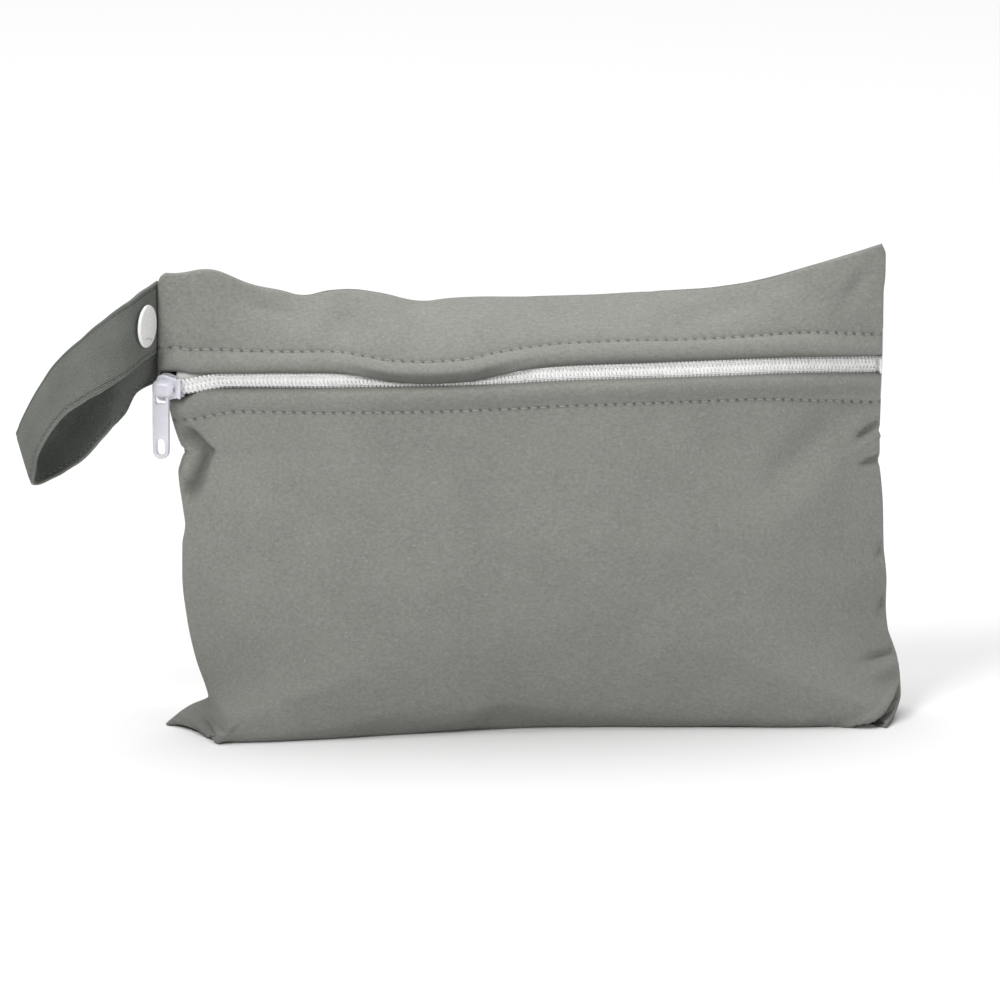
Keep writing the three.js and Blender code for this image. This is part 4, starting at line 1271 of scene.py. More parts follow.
@dataclass
class Panels:
    """The three cloth panels with their stitches."""

    form: BagForm
    finishes: Finishes
    wall: float = 1.2
    columns_a_pitch: int = 4
    edge_steps: tuple[float, ...] = (0, 0.06, 0.2, 0.45, 0.8, 1.2, 1.7, 2.4)
    least_step: float = 0.2
    row_steps: tuple[float, ...] = (0, 0.12, 0.35, 0.7)
    first_row: float = 1.1

    def across_steps(self) -> Array:
        """Columns that meet every needle hole, with finer ones at the rounded side seams.

        Returns:
            Places across, rising.
        """
        f = self.form
        step = f.stitch_pitch / self.columns_a_pitch
        count = int((f.half_width - self.edge_steps[-1]) / step)
        middle = np.arange(-count, count + 1) * step
        left = -f.half_width + np.array(self.edge_steps)
        right = -left[::-1]
        left = left[left < middle[0] - self.least_step]
        right = right[right > middle[-1] + self.least_step]
        return np.concatenate([left, middle, right]) / f.half_width

    def sheet(self, name: str, facing: Facing, start: Array, end: Array, share: Array) -> bpy.types.Object:
        """Cloth between two lines.

        Args:
            name: The piece's name.
            facing: Front or back.
            start: Down share of the first line at each column.
            end: Down share of the last line.
            share: Rising shares from 0 to 1, one a row.

        Returns:
            The object.
        """
        across = self.across_steps()
        down = start[None] + (end - start)[None] * share[:, None]
        points, shade = self.form.surface(facing, across[None] + 0 * down, down)
        flip = facing is Facing.BACK
        piece = make_mesh(name, points, grid_faces(len(share), len(across), flip=flip))
        add_uv(piece, np.broadcast_to(across * self.form.half_width, down.shape), down * self.form.drop)
        add_shade(piece, shade)
        return piece

    def rows(self, length: float, fine_start: float, fine_end: float, fine: float, coarse: float) -> Array:
        """Row shares, closely spaced for a stretch at the start and at the end.

        Args:
            length: The whole length in millimetres.
            fine_start: Length of the fine stretch at the start.
            fine_end: Length of the fine stretch at the end.
            fine: Fine spacing.
            coarse: Spacing in between.

        Returns:
            Shares from 0 to 1.
        """
        near = np.array(self.row_steps)
        first = np.concatenate([near, np.arange(self.first_row, fine_start, fine)])
        last = length - np.concatenate([near, np.arange(self.first_row, fine_end, fine)])[::-1]
        count = max(int((last[0] - first[-1]) / coarse), 1)
        middle = np.linspace(first[-1], last[0], count + 1)[1:-1]
        return np.concatenate([first, middle, last]) / length

    def build(self) -> None:
        """Makes the panels and their rows of stitches."""
        f = self.form
        across = self.across_steps()
        upper, lower = f.upper_edge(across), f.lower_edge(across)
        top, base = np.zeros_like(across), np.ones_like(across)
        above = self.rows(f.zip_down - 3, 3, 12.5, 0.62, 1.3)
        below = self.rows(f.drop - f.zip_down - 3, 12.5, 3, 0.62, 1.18)
        for name, facing, start, end, share, node in (
            ("upper_front_cloth", Facing.FRONT, top, upper, above, "front_upper_panel"),
            ("lower_front_cloth", Facing.FRONT, lower, base, below, "front_lower_panel"),
            ("back_cloth", Facing.BACK, top, base, self.rows(f.drop, 4, 3, 0.8, 1.7), "back_panel"),
        ):
            piece = self.sheet(name, facing, start, end, share)
            thicken(piece, self.wall)
            dress(piece, self.finishes.cloth, replaces=[node])
        self.stitches("upper_stitches", lambda u: f.upper_edge(u) - f.upper_stitches(u) / f.drop)
        self.stitches("lower_stitches", lambda u: f.lower_edge(u) + f.lower_stitches(u) / f.drop)

    def stitches(self, name: str, line: Callable[[Array], Array]) -> None:
        """A row of stitches from needle hole to needle hole.

        Each stitch is a thin tube whose middle stands over the groove and whose ends sink in it.

        Args:
            name: The piece's name.
            line: Down share of the row at a place across.
        """
        f = self.form
        count = int((f.half_width - 2) / f.stitch_pitch)
        holes = np.arange(-count, count) * f.stitch_pitch
        t = np.linspace(0.1, 0.9, 9)
        across = (holes[:, None] + t[None] * f.stitch_pitch) / f.half_width
        rng = np.random.default_rng(5)
        down = line(across) + (rng.uniform(-0.1, 0.1, (len(holes), 1)) + 0.1 * (t[None] - 0.5)) / f.drop
        point, _ = f.surface(Facing.FRONT, across, down)
        normal = f.normal(Facing.FRONT, across, down)
        rise = 0.34 * np.sin(np.pi * (t - 0.1) / 0.8) - 0.16
        centres = point + normal * rise[None, :, None]
        wide = unit(np.cross(unit(np.gradient(centres, axis=1)), normal))
        section = circle(0.24, 0.19, 6)
        tube = centres[:, :, None] + wide[:, :, None] * section[None, None, :, :1]
        tube = tube + normal[:, :, None] * section[None, None, :, 1:]
        tube[:, 0] = centres[:, :1] + (tube[:, 0] - centres[:, :1]) * 0.3
        tube[:, -1] = centres[:, -1:] + (tube[:, -1] - centres[:, -1:]) * 0.3
        per = len(t) * len(section)
        faces = grid_faces(len(t), len(section), wrap=True)
        all_faces = (faces[None] + (np.arange(len(holes)) * per)[:, None, None]).reshape(-1, 4)
        piece = make_mesh(name, tube, all_faces)
        dress(piece, self.finishes.thread)


@dataclass
class Zip:
    """Coil, tapes and the thread that holds the coil."""

    form: BagForm
    finishes: Finishes
    coil_width: float = 5.6
    coil_thick: float = 1.7
    line: float = 0.34
    line_wide: float = 0.65
    pitch: float = 1.4
    recess: float = 2.2
    tape_recess: float = 3.0
    tape_wall: float = 0.5
    squareness: float = 0.75

    def ends(self) -> tuple[float, float]:
        """Where the coil starts and ends, across the bag.

        Returns:
            The two places.
        """
        f = self.form
        start = -1 + (f.slider_inset + f.slider_length / 2 - 1.5) / f.half_width
        return start, 1 - 0.4 / f.half_width

    def frame_at(self, across: Array, side: int) -> tuple[Array, Array, Array]:
        """Middle line of the zip with its upward and outward directions.

        Where the upper panel hangs over the zip, the lower half is turned out and the upper half in.

        Args:
            across: Places across.
            side: 1 above the middle line and -1 below.

        Returns:
            Centres on the cloth's plain surface, directions above and directions out.
        """
        f = self.form
        down = f.zip_middle(across)
        centre = f.plain(Facing.FRONT, across, down)
        out = f.normal(Facing.FRONT, across, down)
        above = unit(f.plain(Facing.FRONT, across, down - 0.01) - centre)
        past = f.past_slider(across)
        lift = (self.recess + 0.9) * (1 - smooth((past + 2) / 16))
        lift = lift - side * 0.3 * np.minimum(f.droop(across) * 1.5, 1)
        lower_by = 1 - smooth(past / 14)
        return centre + out * lift[..., None] - above * lower_by[..., None], above, out

    def build(self) -> None:
        """Makes both halves."""
        for side, half in ((1, "upper"), (-1, "lower")):
            self.coil(side, f"{half}_coil_turns", f"zip_coil_{half}")
            self.tape(side, f"{half}_tape_weave", f"zip_tape_{half}")
            self.holding_thread(side, f"{half}_coil_thread")

    def coil(self, side: int, name: str, node: str) -> None:
        """One half of the coil as a single line wound in flat turns.

        The line's angle grows steadily along the zip; the turn is an ellipse squared off a little, its
        inner end past the middle line between two turns of the other half.

        Args:
            side: 1 above the middle line and -1 below.
            name: The piece's name.
            node: The CAD node that it replaces.
        """
        start, end = self.ends()
        length = (end - start) * self.form.half_width
        turns = int(length / self.pitch)
        steps = 14
        k = np.arange(turns * steps + 1) / steps
        across = start + k * self.pitch / self.form.half_width
        centre, above, out = self.frame_at(across, side)
        angle = 2 * np.pi * (k + (0.5 if side > 0 else 0))
        inner, outer = -0.42, self.coil_width / 2
        swing = squared_off(np.cos(angle), self.squareness)
        rise = side * ((inner + outer) / 2 + (outer - inner) / 2 * swing)
        thick = (self.coil_thick / 2 - self.line) * squared_off(np.sin(angle), self.squareness) - self.recess
        path = centre + above * rise[:, None] + out * thick[:, None]
        tangent = unit(np.gradient(path, axis=0))
        ahead = unit(np.gradient(centre, axis=0))
        wide = unit(ahead - tangent * np.sum(ahead * tangent, -1, keepdims=True))
        deep = np.cross(tangent, wide)
        turned = sweep(path, wide, deep, circle(self.line_wide, self.line, 6))
        cord = centre + above * (side * (inner + outer) / 2) - out * self.recess
        flat = circle((outer - inner) / 2 - self.line, self.coil_thick / 2 - 1.4 * self.line, 10)
        filler = sweep(cord[::4], above[::4], out[::4], flat)
        points, faces = joined([
            (turned, grid_faces(len(k), 6, wrap=True)), (filler, grid_faces(len(filler), 10, wrap=True)),
        ])
        piece = make_mesh(name, points, faces)
        dress(piece, self.finishes.coil, replaces=[node])

    def tape(self, side: int, name: str, node: str) -> None:
        """A tape from under the coil outwards behind the cloth.

        Args:
            side: 1 above the middle line and -1 below.
            name: The piece's name.
            node: The CAD node that it replaces.
        """
        f = self.form
        start, end = self.ends()
        across = np.linspace(start, end, 300)
        share = np.linspace(0, 1, 12)
        beside = 0.25 + 12.0 * share
        down = np.stack([f.beside_zip(across, side * b) for b in beside])
        points = f.plain(Facing.FRONT, across[None] + 0 * down, down)
        normal = f.normal(Facing.FRONT, across[None] + 0 * down, down)
        lift = (self.recess + 0.4) * (1 - smooth((f.past_slider(across) + 2) / 16))
        sink = self.tape_recess + 0.5 * smooth((beside - 3) / 3)
        raised = lift[None] * (1 - smooth((beside - 2) / 5))[:, None]
        points = points - normal * (sink[:, None] - raised)[..., None]
        piece = make_mesh(name, points, grid_faces(len(share), len(across), flip=side > 0))
        along = np.broadcast_to(across * f.half_width, down.shape)
        add_uv(piece, along, np.broadcast_to(beside[:, None], down.shape))
        thicken(piece, self.tape_wall)
        dress(piece, self.finishes.tape, replaces=[node])

    def holding_thread(self, side: int, name: str) -> None:
        """Two lines of white sewing thread that lie over the coil's outer turns and bind it to the tape.

        Args:
            side: 1 above the middle line and -1 below.
            name: The piece's name.
        """
        start, end = self.ends()
        k = np.arange(0, int((end - start) * self.form.half_width / self.pitch * 4)) / 4
        across = start + (k + 0.5) * self.pitch / self.form.half_width
        centre, above, out = self.frame_at(across, side)
        wave = 0.1 * np.cos(2 * np.pi * k)
        made = []
        faces = []
        for row, beside in enumerate((1.45, 1.95)):
            height = self.coil_thick / 2 - self.recess + 0.1 + wave
            path = centre + above * (side * beside) + out * height[:, None]
            tangent = unit(np.gradient(path, axis=0))
            wide = unit(np.cross(tangent, out))
            made.append(sweep(path, wide, out, circle(0.2, 0.16, 5)).reshape(-1, 3))
            faces.append(grid_faces(len(k), 5, wrap=True) + row * len(k) * 5)
        piece = make_mesh(name, np.concatenate(made), np.concatenate(faces))
        dress(piece, self.finishes.coil)


def outline_normals(outline: Array) -> Array:
    """Outward normals of a closed outline that runs anticlockwise, each from its two neighbours."""
    step = np.roll(outline, -1, 0) - np.roll(outline, 1, 0)
    return unit(np.stack([step[:, 1], -step[:, 0]], -1))


def rounded(corners: Sequence[tuple[float, float, float]], steps: int = 7, side_steps: int = 4) -> Array:
    """A closed outline with rounded corners, each a quarter wave between its two tangent points.

    Args:
        corners: First and second coordinate and radius of each corner, anticlockwise.
        steps: Points on a corner.
        side_steps: Points on a straight side.

    Returns:
        Points, one row each.
    """
    made = []
    place = np.array([c[:2] for c in corners], float)
    for k, corner in enumerate(corners):
        before = unit(place[k - 1] - place[k])
        after = unit(place[(k + 1) % len(place)] - place[k])
        t = np.linspace(0, 1, steps)[:, None]
        first, last = place[k] + before * corner[2], place[k] + after * corner[2]
        made.append((1 - t) ** 2 * first + 2 * t * (1 - t) * place[k] + t * t * last)
        follow = place[(k + 1) % len(place)] - after * corners[(k + 1) % len(place)][2]
        s = np.linspace(0, 1, side_steps + 2)[1:-1, None]
        made.append(last + (follow - last) * s)
    return np.concatenate(made)


def slab(outline: Array, low: float, high: float, rounding: float, dome: float = 0) -> tuple[Array, Array]:
    """A slab with rounded edges, from its lower face's middle round its sides to its upper face's middle.

    Near an edge the outline is drawn in along its normals by radius * (1 - sin(angle)), while the height
    grows by radius * (1 - cos(angle)); within the faces it shrinks towards its centre.

    Args:
        outline: Closed outline, anticlockwise.
        low: Height of the lower face.
        high: Height of the upper face.
        rounding: Radius of the edges.
        dome: Extra height in the middle of the upper face.

    Returns:
        Points (the outline's two coordinates, then height) by ring, and faces.
    """
    normal = outline_normals(outline)
    bend = np.linspace(0, np.pi / 2, 6)[:, None]
    inset = rounding * (1 - np.sin(bend))
    rise = rounding * (1 - np.cos(bend))[:, 0]
    rim = outline[None] - normal[None] * inset[:, :, None]
    centre = outline.mean(0)
    face = centre + (rim[0] - centre)[None] * np.array([0.001, 0.3, 0.6, 0.85])[:, None, None]
    rings = np.concatenate([face, rim, rim[::-1], face[::-1]])
    heights = np.concatenate([np.full(4, low), low + rise, high - rise[::-1], np.full(4, high)])
    from_centre = np.linalg.norm(rings - centre, axis=-1) / np.linalg.norm(outline - centre, axis=-1)
    top = (np.arange(len(rings)) >= len(rings) // 2)[:, None]
    height = heights[:, None] + np.where(top, dome * (1 - from_centre ** 2), 0)
    points = np.concatenate([rings, height[..., None]], -1)
    return points, grid_faces(len(rings), len(outline), wrap=True)


def joined(parts: Sequence[tuple[Array, Array]]) -> tuple[Array, Array]:
    """Several point and face arrays as one.

    Args:
        parts: Points and faces of each.

    Returns:
        All points and all faces.
    """
    points, faces, count = [], [], 0
    for part, quads in parts:
        flat = part.reshape(-1, 3)
        points.append(flat)
        faces.append(quads + count)
        count += len(flat)
    return np.concatenate(points), np.concatenate(faces)


class Bend(NamedTuple):
    """A rounded corner of an outline on the slider, in millimetres."""

    along: float
    up: float
    radius: float


WEDGE_OUTLINE = (Bend(-4.1, -0.8, 0.3), Bend(-2.3, -0.25, 0.2), Bend(-2.3, 0.25, 0.2), Bend(-4.1, 0.8, 0.3))
RIB_OUTLINE = (Bend(3.5, -3.5, 0.25), Bend(4.55, -3.5, 0.25), Bend(4.55, 3.5, 0.25), Bend(3.5, 3.5, 0.25))
FLANGE_OUTLINE = (Bend(-3.2, 0, 0.3), Bend(2.6, 0, 0.3), Bend(2.6, 0.7, 0.3), Bend(-3.2, 0.7, 0.3))


@dataclass
class Slider:
    """The slider at the zip's left end, in its own frame: X along the zip, -Y outwards and Z up."""

    form: BagForm
    finishes: Finishes
    length: float = 9.2
    width: float = 9.4
    tail: float = 6.6
    plate: float = 1.1
    channel_half: float = 1.36
    gap: float = 0.3
    drop: float = 1.0
    yaw: float = 25
    tab_thick: float = 1.2
    tab_clearance: float = 0.4
    bridge_x: float = -2.4
    dome_length: float = 7.8
    dome_width: float = 6.2
    dome_wall: float = 1.05
    dome_squareness: float = 0.72
    tab_half_wide: float = 3.0
    tab_length: float = 25.4
    tab_bar: float = 0.6
    tab_split: float = -9.0
    tab_edge: float = 0.34
    tab_extra: float = 0.5
    slot_radius: float = 1.55
    slot_end: float = 1.5
    slot_length: float = 5.8
    ring_low: float = -5.4
    ring_half_wide: float = 1.9
    ring_corner: float = 0.6
    shoulder: float = 1.0
    sharp: float = 0.01

    @property
    def face(self) -> float:
        """How far the front plate stands out."""
        return self.channel_half + self.plate

    @property
    def pivot_out(self) -> float:
        """How far the tab's pivot stands out."""
        return self.face + self.tab_clearance + self.tab_thick / 2

    def place(self, points: Array) -> Array:
        """Points of the slider's own frame in the bag's frame.

        Args:
            points: Points, last axis X, Y, Z.

        Returns:
            The turned and moved points.
        """
        f = self.form
        across = np.array(-1 + self.form.slider_inset / f.half_width)
        seat = f.plain(Facing.FRONT, across, np.array(f.zip_down / f.drop))
        turn = math.radians(self.yaw)
        out = self.face * math.cos(turn) + self.length / 2 * math.sin(turn) + self.gap
        x = points[..., 0] * math.cos(turn) + points[..., 1] * math.sin(turn)
        y = -points[..., 0] * math.sin(turn) + points[..., 1] * math.cos(turn)
        return np.stack([seat[0] + x, y - out, points[..., 2] + seat[2] - self.drop], -1)

    def outline(self) -> Array:
        """The plates' outline: broad at the left, narrowing to a tail with two small hooks.

        Returns:
            Points, one row each.
        """
        left, right = -self.length / 2, self.length / 2
        wide, tail = self.width / 2, self.tail / 2
        return rounded([
            (left, -wide, 2.4), (left + 3.4, -wide, 0.8), (right - 1.7, -tail, 0.5),
            (right - 0.5, -tail - 0.5, 0.25), (right, -tail, 0.3), (right, tail, 0.3),
            (right - 0.5, tail + 0.5, 0.25), (right - 1.7, tail, 0.5), (left + 3.4, wide, 0.8),
            (left, wide, 2.4),
        ])

    def standing(self, points: Array) -> Array:
        """Turns points (X, Z, outward height) into the slider's frame."""
        return np.stack([points[..., 0], -points[..., 2], points[..., 1]], -1)

    def build(self) -> None:
        """Makes the slider's plates, wedge, dome and rib as one piece, and the tab."""
        front, faces = slab(self.outline(), self.channel_half, self.face, 0.45)
        back, _ = slab(self.outline(), -self.face, -self.channel_half, 0.3)
        wedge = slab(rounded(WEDGE_OUTLINE), -self.channel_half - 0.2, self.channel_half + 0.2, 0.1)
        rib = slab(rounded(RIB_OUTLINE), self.face - 0.4, self.face + 0.55, 0.25)
        sides = []
        for foot in (-3.75, 3.05):
            flange = rounded(FLANGE_OUTLINE) + np.array([0, foot])
            sides.append(slab(flange, self.channel_half - 0.9, self.channel_half + 0.3, 0.2))
        parts = [(front, faces), (back, faces), wedge, rib, *sides]
        moved = [(self.place(self.standing(p)), q) for p, q in parts]
        moved.append(self.dome())
        points, quads = joined(moved)
        piece = make_mesh("slider_shell", points, quads)
        dress(piece, self.finishes.enamel, replaces=["slider_body"])
        self.tab()

    def dome(self) -> tuple[Array, Array]:
        """The bridge as a smooth arched shell over the tab's bar, open along the slider.

        Its section across is an arch, a superellipse; along the slider the arch's height and width
        fall off at both ends as a superellipse does, and a tunnel for the tab's ring is left inside.

        Returns:
            Points and faces.
        """
        centre_x = self.bridge_x + 0.9
        rise = self.tab_thick + 2 * self.tab_clearance + 1.35
        foot = self.face - 0.35
        made = []
        for shell, shorter in ((0.0, 0.0), (self.dome_wall, 0.7)):
            half_long = self.dome_length / 2 - shorter
            u = np.linspace(-1, 1, 31)[:, None]
            v = np.linspace(0, np.pi, 33)[None]
            taper = (1 - np.abs(u) ** 4.5) ** 0.5
            wide = (self.dome_width / 2 - shell) * (0.35 + 0.65 * taper)
            high = (rise + 0.35 - shell) * (0.55 + 0.45 * taper)
            x = centre_x + half_long * u + 0 * v
            z = wide * squared_off(np.cos(v), self.dome_squareness)
            y = -(foot + high * squared_off(np.sin(v), self.dome_squareness))
            made.append(np.stack([x, y, z], -1))
        outer, inner = made
        rows, columns = outer.shape[:2]
        points = np.concatenate([outer.reshape(-1, 3), inner.reshape(-1, 3)])
        count = rows * columns
        faces = [grid_faces(rows, columns, flip=True), grid_faces(rows, columns) + count]
        border = np.concatenate([np.arange(columns), np.arange(1, rows) * columns + columns - 1,
                                 (rows - 1) * columns + np.arange(columns - 2, -1, -1),
                                 np.arange(rows - 2, 0, -1) * columns])
        after = np.roll(border, -1)
        faces.append(np.stack([border, after, after + count, border + count], -1))
        return self.place(points), np.concatenate(faces)

    def tab(self) -> None:
        """The pull tab, a plate with a ring at the bridge and a slot near its lower end.

        Each half of the plate is a band between a hole's loop and the outline round it; its half
        thickness near a free edge falls as a circle does.
        """
        wide, length, thick = self.tab_half_wide, self.tab_length, self.tab_thick + self.tab_extra
        turn = np.linspace(0, 2 * np.pi, 97)[:-1]
        direction = np.stack([np.cos(turn), np.sin(turn)], -1)
        split, radius, edge = self.tab_split, self.slot_radius, self.tab_edge
        steps = np.array([0, 0.04, 0.1, 0.19, 0.34])
        slot_low = -length + self.slot_end
        parts = []
        for upper in (True, False):
            low, high = (self.ring_low, -self.tab_bar) if upper else (slot_low, slot_low + self.slot_length)
            centre = np.array([0, (low + high) / 2])
            hole = self.stadium(direction, self.ring_half_wide if upper else radius, (high - low) / 2,
                                self.ring_corner if upper else radius)
            top, bottom = (self.tab_bar, split) if upper else (split, -length)
            rim = self.stadium(direction, wide, (top - bottom) / 2, self.shoulder if upper else wide)
            corner = self.stadium(direction, wide, (top - bottom) / 2, self.sharp)
            at_middle = direction[:, 1] < 0 if upper else direction[:, 1] > 0
            rim = np.where(at_middle[:, None], corner, rim) + (np.array([0, (top + bottom) / 2]) - centre)
            span = np.linalg.norm(rim - hole, axis=1)
            at_split = np.abs(rim[:, 1] + centre[1] - split) < 1e-6
            at_split = at_split & (np.abs(rim[:, 0]) < wide - 1e-6)
            inner = steps[:, None] / span
            middle = np.linspace(0, 1, 6)[1:-1, None] * (1 - 2 * steps[-1] / span) + steps[-1] / span
            outer = 1 - steps[::-1, None] / span
            share = np.concatenate([inner, middle, outer])
            flat = hole[None] + (rim - hole)[None] * share[..., None]
            from_hole = share * span
            from_rim = np.where(at_split, 9, (1 - share) * span)
            fall = np.minimum(self.rounding(from_hole, edge), self.rounding(from_rim, edge))
            half_thick = thick / 2 - edge + edge * fall
            place = flat + centre
            face = np.stack([place[..., 0], -half_thick, place[..., 1]], -1)
            rear = face * np.array([1, -1, 1])
            loop = np.concatenate([face, rear[::-1]])
            closed = np.concatenate([loop, loop[:1]])
            quads = grid_faces(len(closed), len(turn), wrap=True, flip=True)
            parts.append((closed, quads))
        points, faces = joined(parts)
        points = points + np.array([self.bridge_x, -self.pivot_out, 0])
        piece = make_mesh("pull_tab_plate", self.place(points), faces)
        dress(piece, self.finishes.enamel, body=PULL, replaces=["pull_tab"])

    @staticmethod
    def rounding(distance: Array, edge: float) -> Array:
        """A quarter circle from 0 at an edge to 1 at a distance of the edge's radius."""
        return np.sqrt(np.maximum(0, 1 - (1 - np.clip(distance / edge, 0, 1)) ** 2))

    @staticmethod
    def stadium(direction: Array, half_wide: float, half_high: float, radius: float) -> Array:
        """Where rays from the middle meet a rounded rectangle, found by bisection on its distance.

        Args:
            direction: Unit rays, which are first aimed at the corners to share out the straight sides.
            half_wide: Half its width.
            half_high: Half its height.
            radius: Radius of its corners.

        Returns:
            Points on the outline.
        """
        low, high = np.zeros(len(direction)), np.full(len(direction), half_wide + half_high)
        box = np.array([half_wide - radius, half_high - radius])
        aimed = unit(direction * np.array([half_wide, half_high]))
        for _ in range(40):
            middle = (low + high) / 2
            q = np.abs(aimed * middle[:, None]) - box
            distance = np.linalg.norm(np.maximum(q, 0), axis=1) + np.minimum(q.max(1), 0) - radius
            low, high = np.where(distance < 0, middle, low), np.where(distance < 0, high, middle)
        return aimed * low[:, None]


class Station(NamedTuple):
    """A place on the strap. out, fore and up are shares of its reach; tilt and lean are degrees."""

    out: float
    fore: float
    up: float
    tilt: float
    lean: float


STRAP_STATIONS = (
    Station(-0.03, -0.045, 0.036, 0, 0),
    Station(0.092, 0.168, 0.012, 0, 0),
    Station(0.172, 0.28, -0.024, 3, 0),
    Station(0.278, 0.352, -0.084, 13, 0),
    Station(0.395, 0.372, -0.162, 30, 0),
    Station(0.538, 0.34, -0.268, 45, 1),
    Station(0.684, 0.26, -0.41, 52, 1),
    Station(0.778, 0.17, -0.556, 56, 2),
    Station(0.862, 0.06, -0.745, 60, 7),
    Station(0.902, -0.04, -0.905, 57, 13),
    Station(0.908, -0.115, -0.98, 55, 15),
    Station(0.872, -0.17, -1.004, 57, 15),
    Station(0.782, -0.18, -0.965, 55, 10),
    Station(0.66, -0.13, -0.882, 50, 5),
    Station(0.545, -0.03, -0.775, 44, 3),
    Station(0.428, 0.11, -0.6, 36, 3),
    Station(0.35, 0.235, -0.45, 20, 5),
    Station(0.272, 0.27, -0.36, 5, 6),
    Station(0.16, 0.118, -0.225, 0, 5),
    Station(-0.03, -0.06, -0.18, 0, 0),
)


@dataclass
class Strap:
    """The band, folded into a loop at the left side seam, with ribs and edge stitching."""

    form: BagForm
    finishes: Finishes
    width: float = 25.5
    thick: float = 1.6
    reach: float = 50
    rise: float = 146
    seam_reach: float = 1.0028
    cloth: float = 1.2
    rib_pitch: float = 0.82
    rib_height: float = 0.24
    hem_inset: float = 1.7
    stitch_pitch: float = 2.9

    def centres(self) -> Array:
        """The stations' centres.

        Returns:
            Points, one row each.
        """
        root = -self.form.half_width * self.seam_reach - self.cloth / 2
        rows = np.array(STRAP_STATIONS)
        return np.stack([root - self.reach * rows[:, 0], -self.reach * rows[:, 1],
                         self.rise + self.reach * rows[:, 2]], -1)

    def frame_at(self, t: Array) -> tuple[Array, Array, Array, Array]:
        """Centre, tangent, width direction and face direction at shares along the stations.

        The centre runs on a centripetal Catmull-Rom curve: knots apart by the square root of the
        distance between stations, a cubic through each pair with tangents from their neighbours.

        Args:
            t: Shares from 0 to 1.

        Returns:
            Four arrays of vectors.
        """
        p = self.centres()
        p = np.concatenate([[2 * p[0] - p[1]], p, [2 * p[-1] - p[-2]]])
        count = len(STRAP_STATIONS) - 1
        place = np.clip(t, 0, 1) * count
        k = np.minimum(place.astype(int), count - 1)
        w = (place - k)[:, None]
        gaps = np.linalg.norm(np.diff(p, axis=0), axis=1)[:, None] ** 0.5
        d0, d1, d2 = gaps[k], gaps[k + 1], gaps[k + 2]
        x0, x1, x2, x3 = p[k], p[k + 1], p[k + 2], p[k + 3]
        m1 = ((x1 - x0) / d0 - (x2 - x0) / (d0 + d1) + (x2 - x1) / d1) * d1
        m2 = ((x2 - x1) / d1 - (x3 - x1) / (d1 + d2) + (x3 - x2) / d2) * d1
        c2, c3 = -3 * x1 + 3 * x2 - 2 * m1 - m2, 2 * x1 - 2 * x2 + m1 + m2
        centre = x1 + m1 * w + c2 * w ** 2 + c3 * w ** 3
        tangent = unit(m1 + 2 * c2 * w + 3 * c3 * w ** 2)
        rows = np.array(STRAP_STATIONS)
        ease = smooth(w[:, 0])
        tilt = np.radians(rows[k, 3] + (rows[k + 1, 3] - rows[k, 3]) * ease)
        lean = np.radians(rows[k, 4] + (rows[k + 1, 4] - rows[k, 4]) * ease)
        wide = np.stack([-np.sin(lean) * np.cos(tilt), np.sin(tilt), np.cos(lean) * np.cos(tilt)], -1)
        return centre, tangent, wide, unit(np.cross(wide, tangent))

    def build(self) -> None:
        """Makes the band and the stitches near its lower edge."""
        t = self.even_shares(0.75)
        centre, _, wide, face = self.frame_at(t)
        half, edge = self.width / 2, self.thick / 2
        v = np.linspace(half - edge, -half + edge, 145)
        bend = np.linspace(0, np.pi, 9)[1:-1]
        fold = np.stack([-half + edge - edge * np.sin(bend), edge * np.cos(bend)], -1)
        section = np.concatenate([
            np.stack([v, np.full_like(v, edge)], -1), fold,
            np.stack([-v, np.full_like(v, -edge)], -1), -fold,
        ])
        ribs = np.abs(np.sin(np.pi * section[:, 0] / self.rib_pitch))
        from_hem = half - self.hem_inset - np.abs(section[:, 0])
        hem = bell(from_hem / 0.55)
        depth = self.rib_height * (ribs ** 0.8 - 0.6) * smooth((half - 0.9 - np.abs(section[:, 0])) / 0.8)
        along = np.cumsum(np.concatenate([[0], np.linalg.norm(np.diff(centre, axis=0), axis=1)]))
        side = np.sign(section[:, 1])
        wobble = 0.16 * soft_noise(along[:, None] / 9 + 5, section[None, :, 0] / 7 + 12, 31)
        stitch = np.cos(2 * np.pi * along / self.stitch_pitch)[:, None] * 0.05
        thick = section[None, :, 1] + side[None] * (depth - 0.28 * hem)[None]
        thick = thick + wobble - side[None] * stitch * hem[None]
        edge_wave = 0.16 * soft_noise(along / 7, np.full_like(along, 3.0), 8)[:, None]
        points = centre[:, None] + wide[:, None] * (section[None, :, 0] + edge_wave)[..., None]
        points = points + face[:, None] * thick[..., None]
        piece = make_mesh("ribbed_strap", points, grid_faces(len(t), len(section), wrap=True, flip=True))
        around = np.cumsum(np.concatenate([[0], np.linalg.norm(np.diff(section, axis=0), axis=1)]))
        shape = thick.shape
        add_uv(piece, np.broadcast_to(along[:, None], shape), np.broadcast_to(around[None], shape))
        # Painted shade: the grooves between the ribs, the hem's groove and the loop's inner face are
        # darkened.
        inside = np.where(section[:, 1] < 0, 0.25, 0)
        groove = 0.75 * (1 - ribs) ** 1.5
        add_shade(piece, np.broadcast_to(np.clip(groove + 0.35 * hem + inside, 0, 0.9)[None], thick.shape))
        dress(piece, self.finishes.band, replaces=["strap"])
        self.stitches()

    def even_shares(self, step: float) -> Array:
        """Shares along the stations at even distances.

        Args:
            step: Distance in millimetres.

        Returns:
            The shares.
        """
        fine = np.linspace(0, 1, 4000)
        centre = self.frame_at(fine)[0]
        along = np.cumsum(np.concatenate([[0], np.linalg.norm(np.diff(centre, axis=0), axis=1)]))
        count = int(along[-1] / step)
        return np.interp(np.linspace(0, along[-1], count + 1), along, fine)

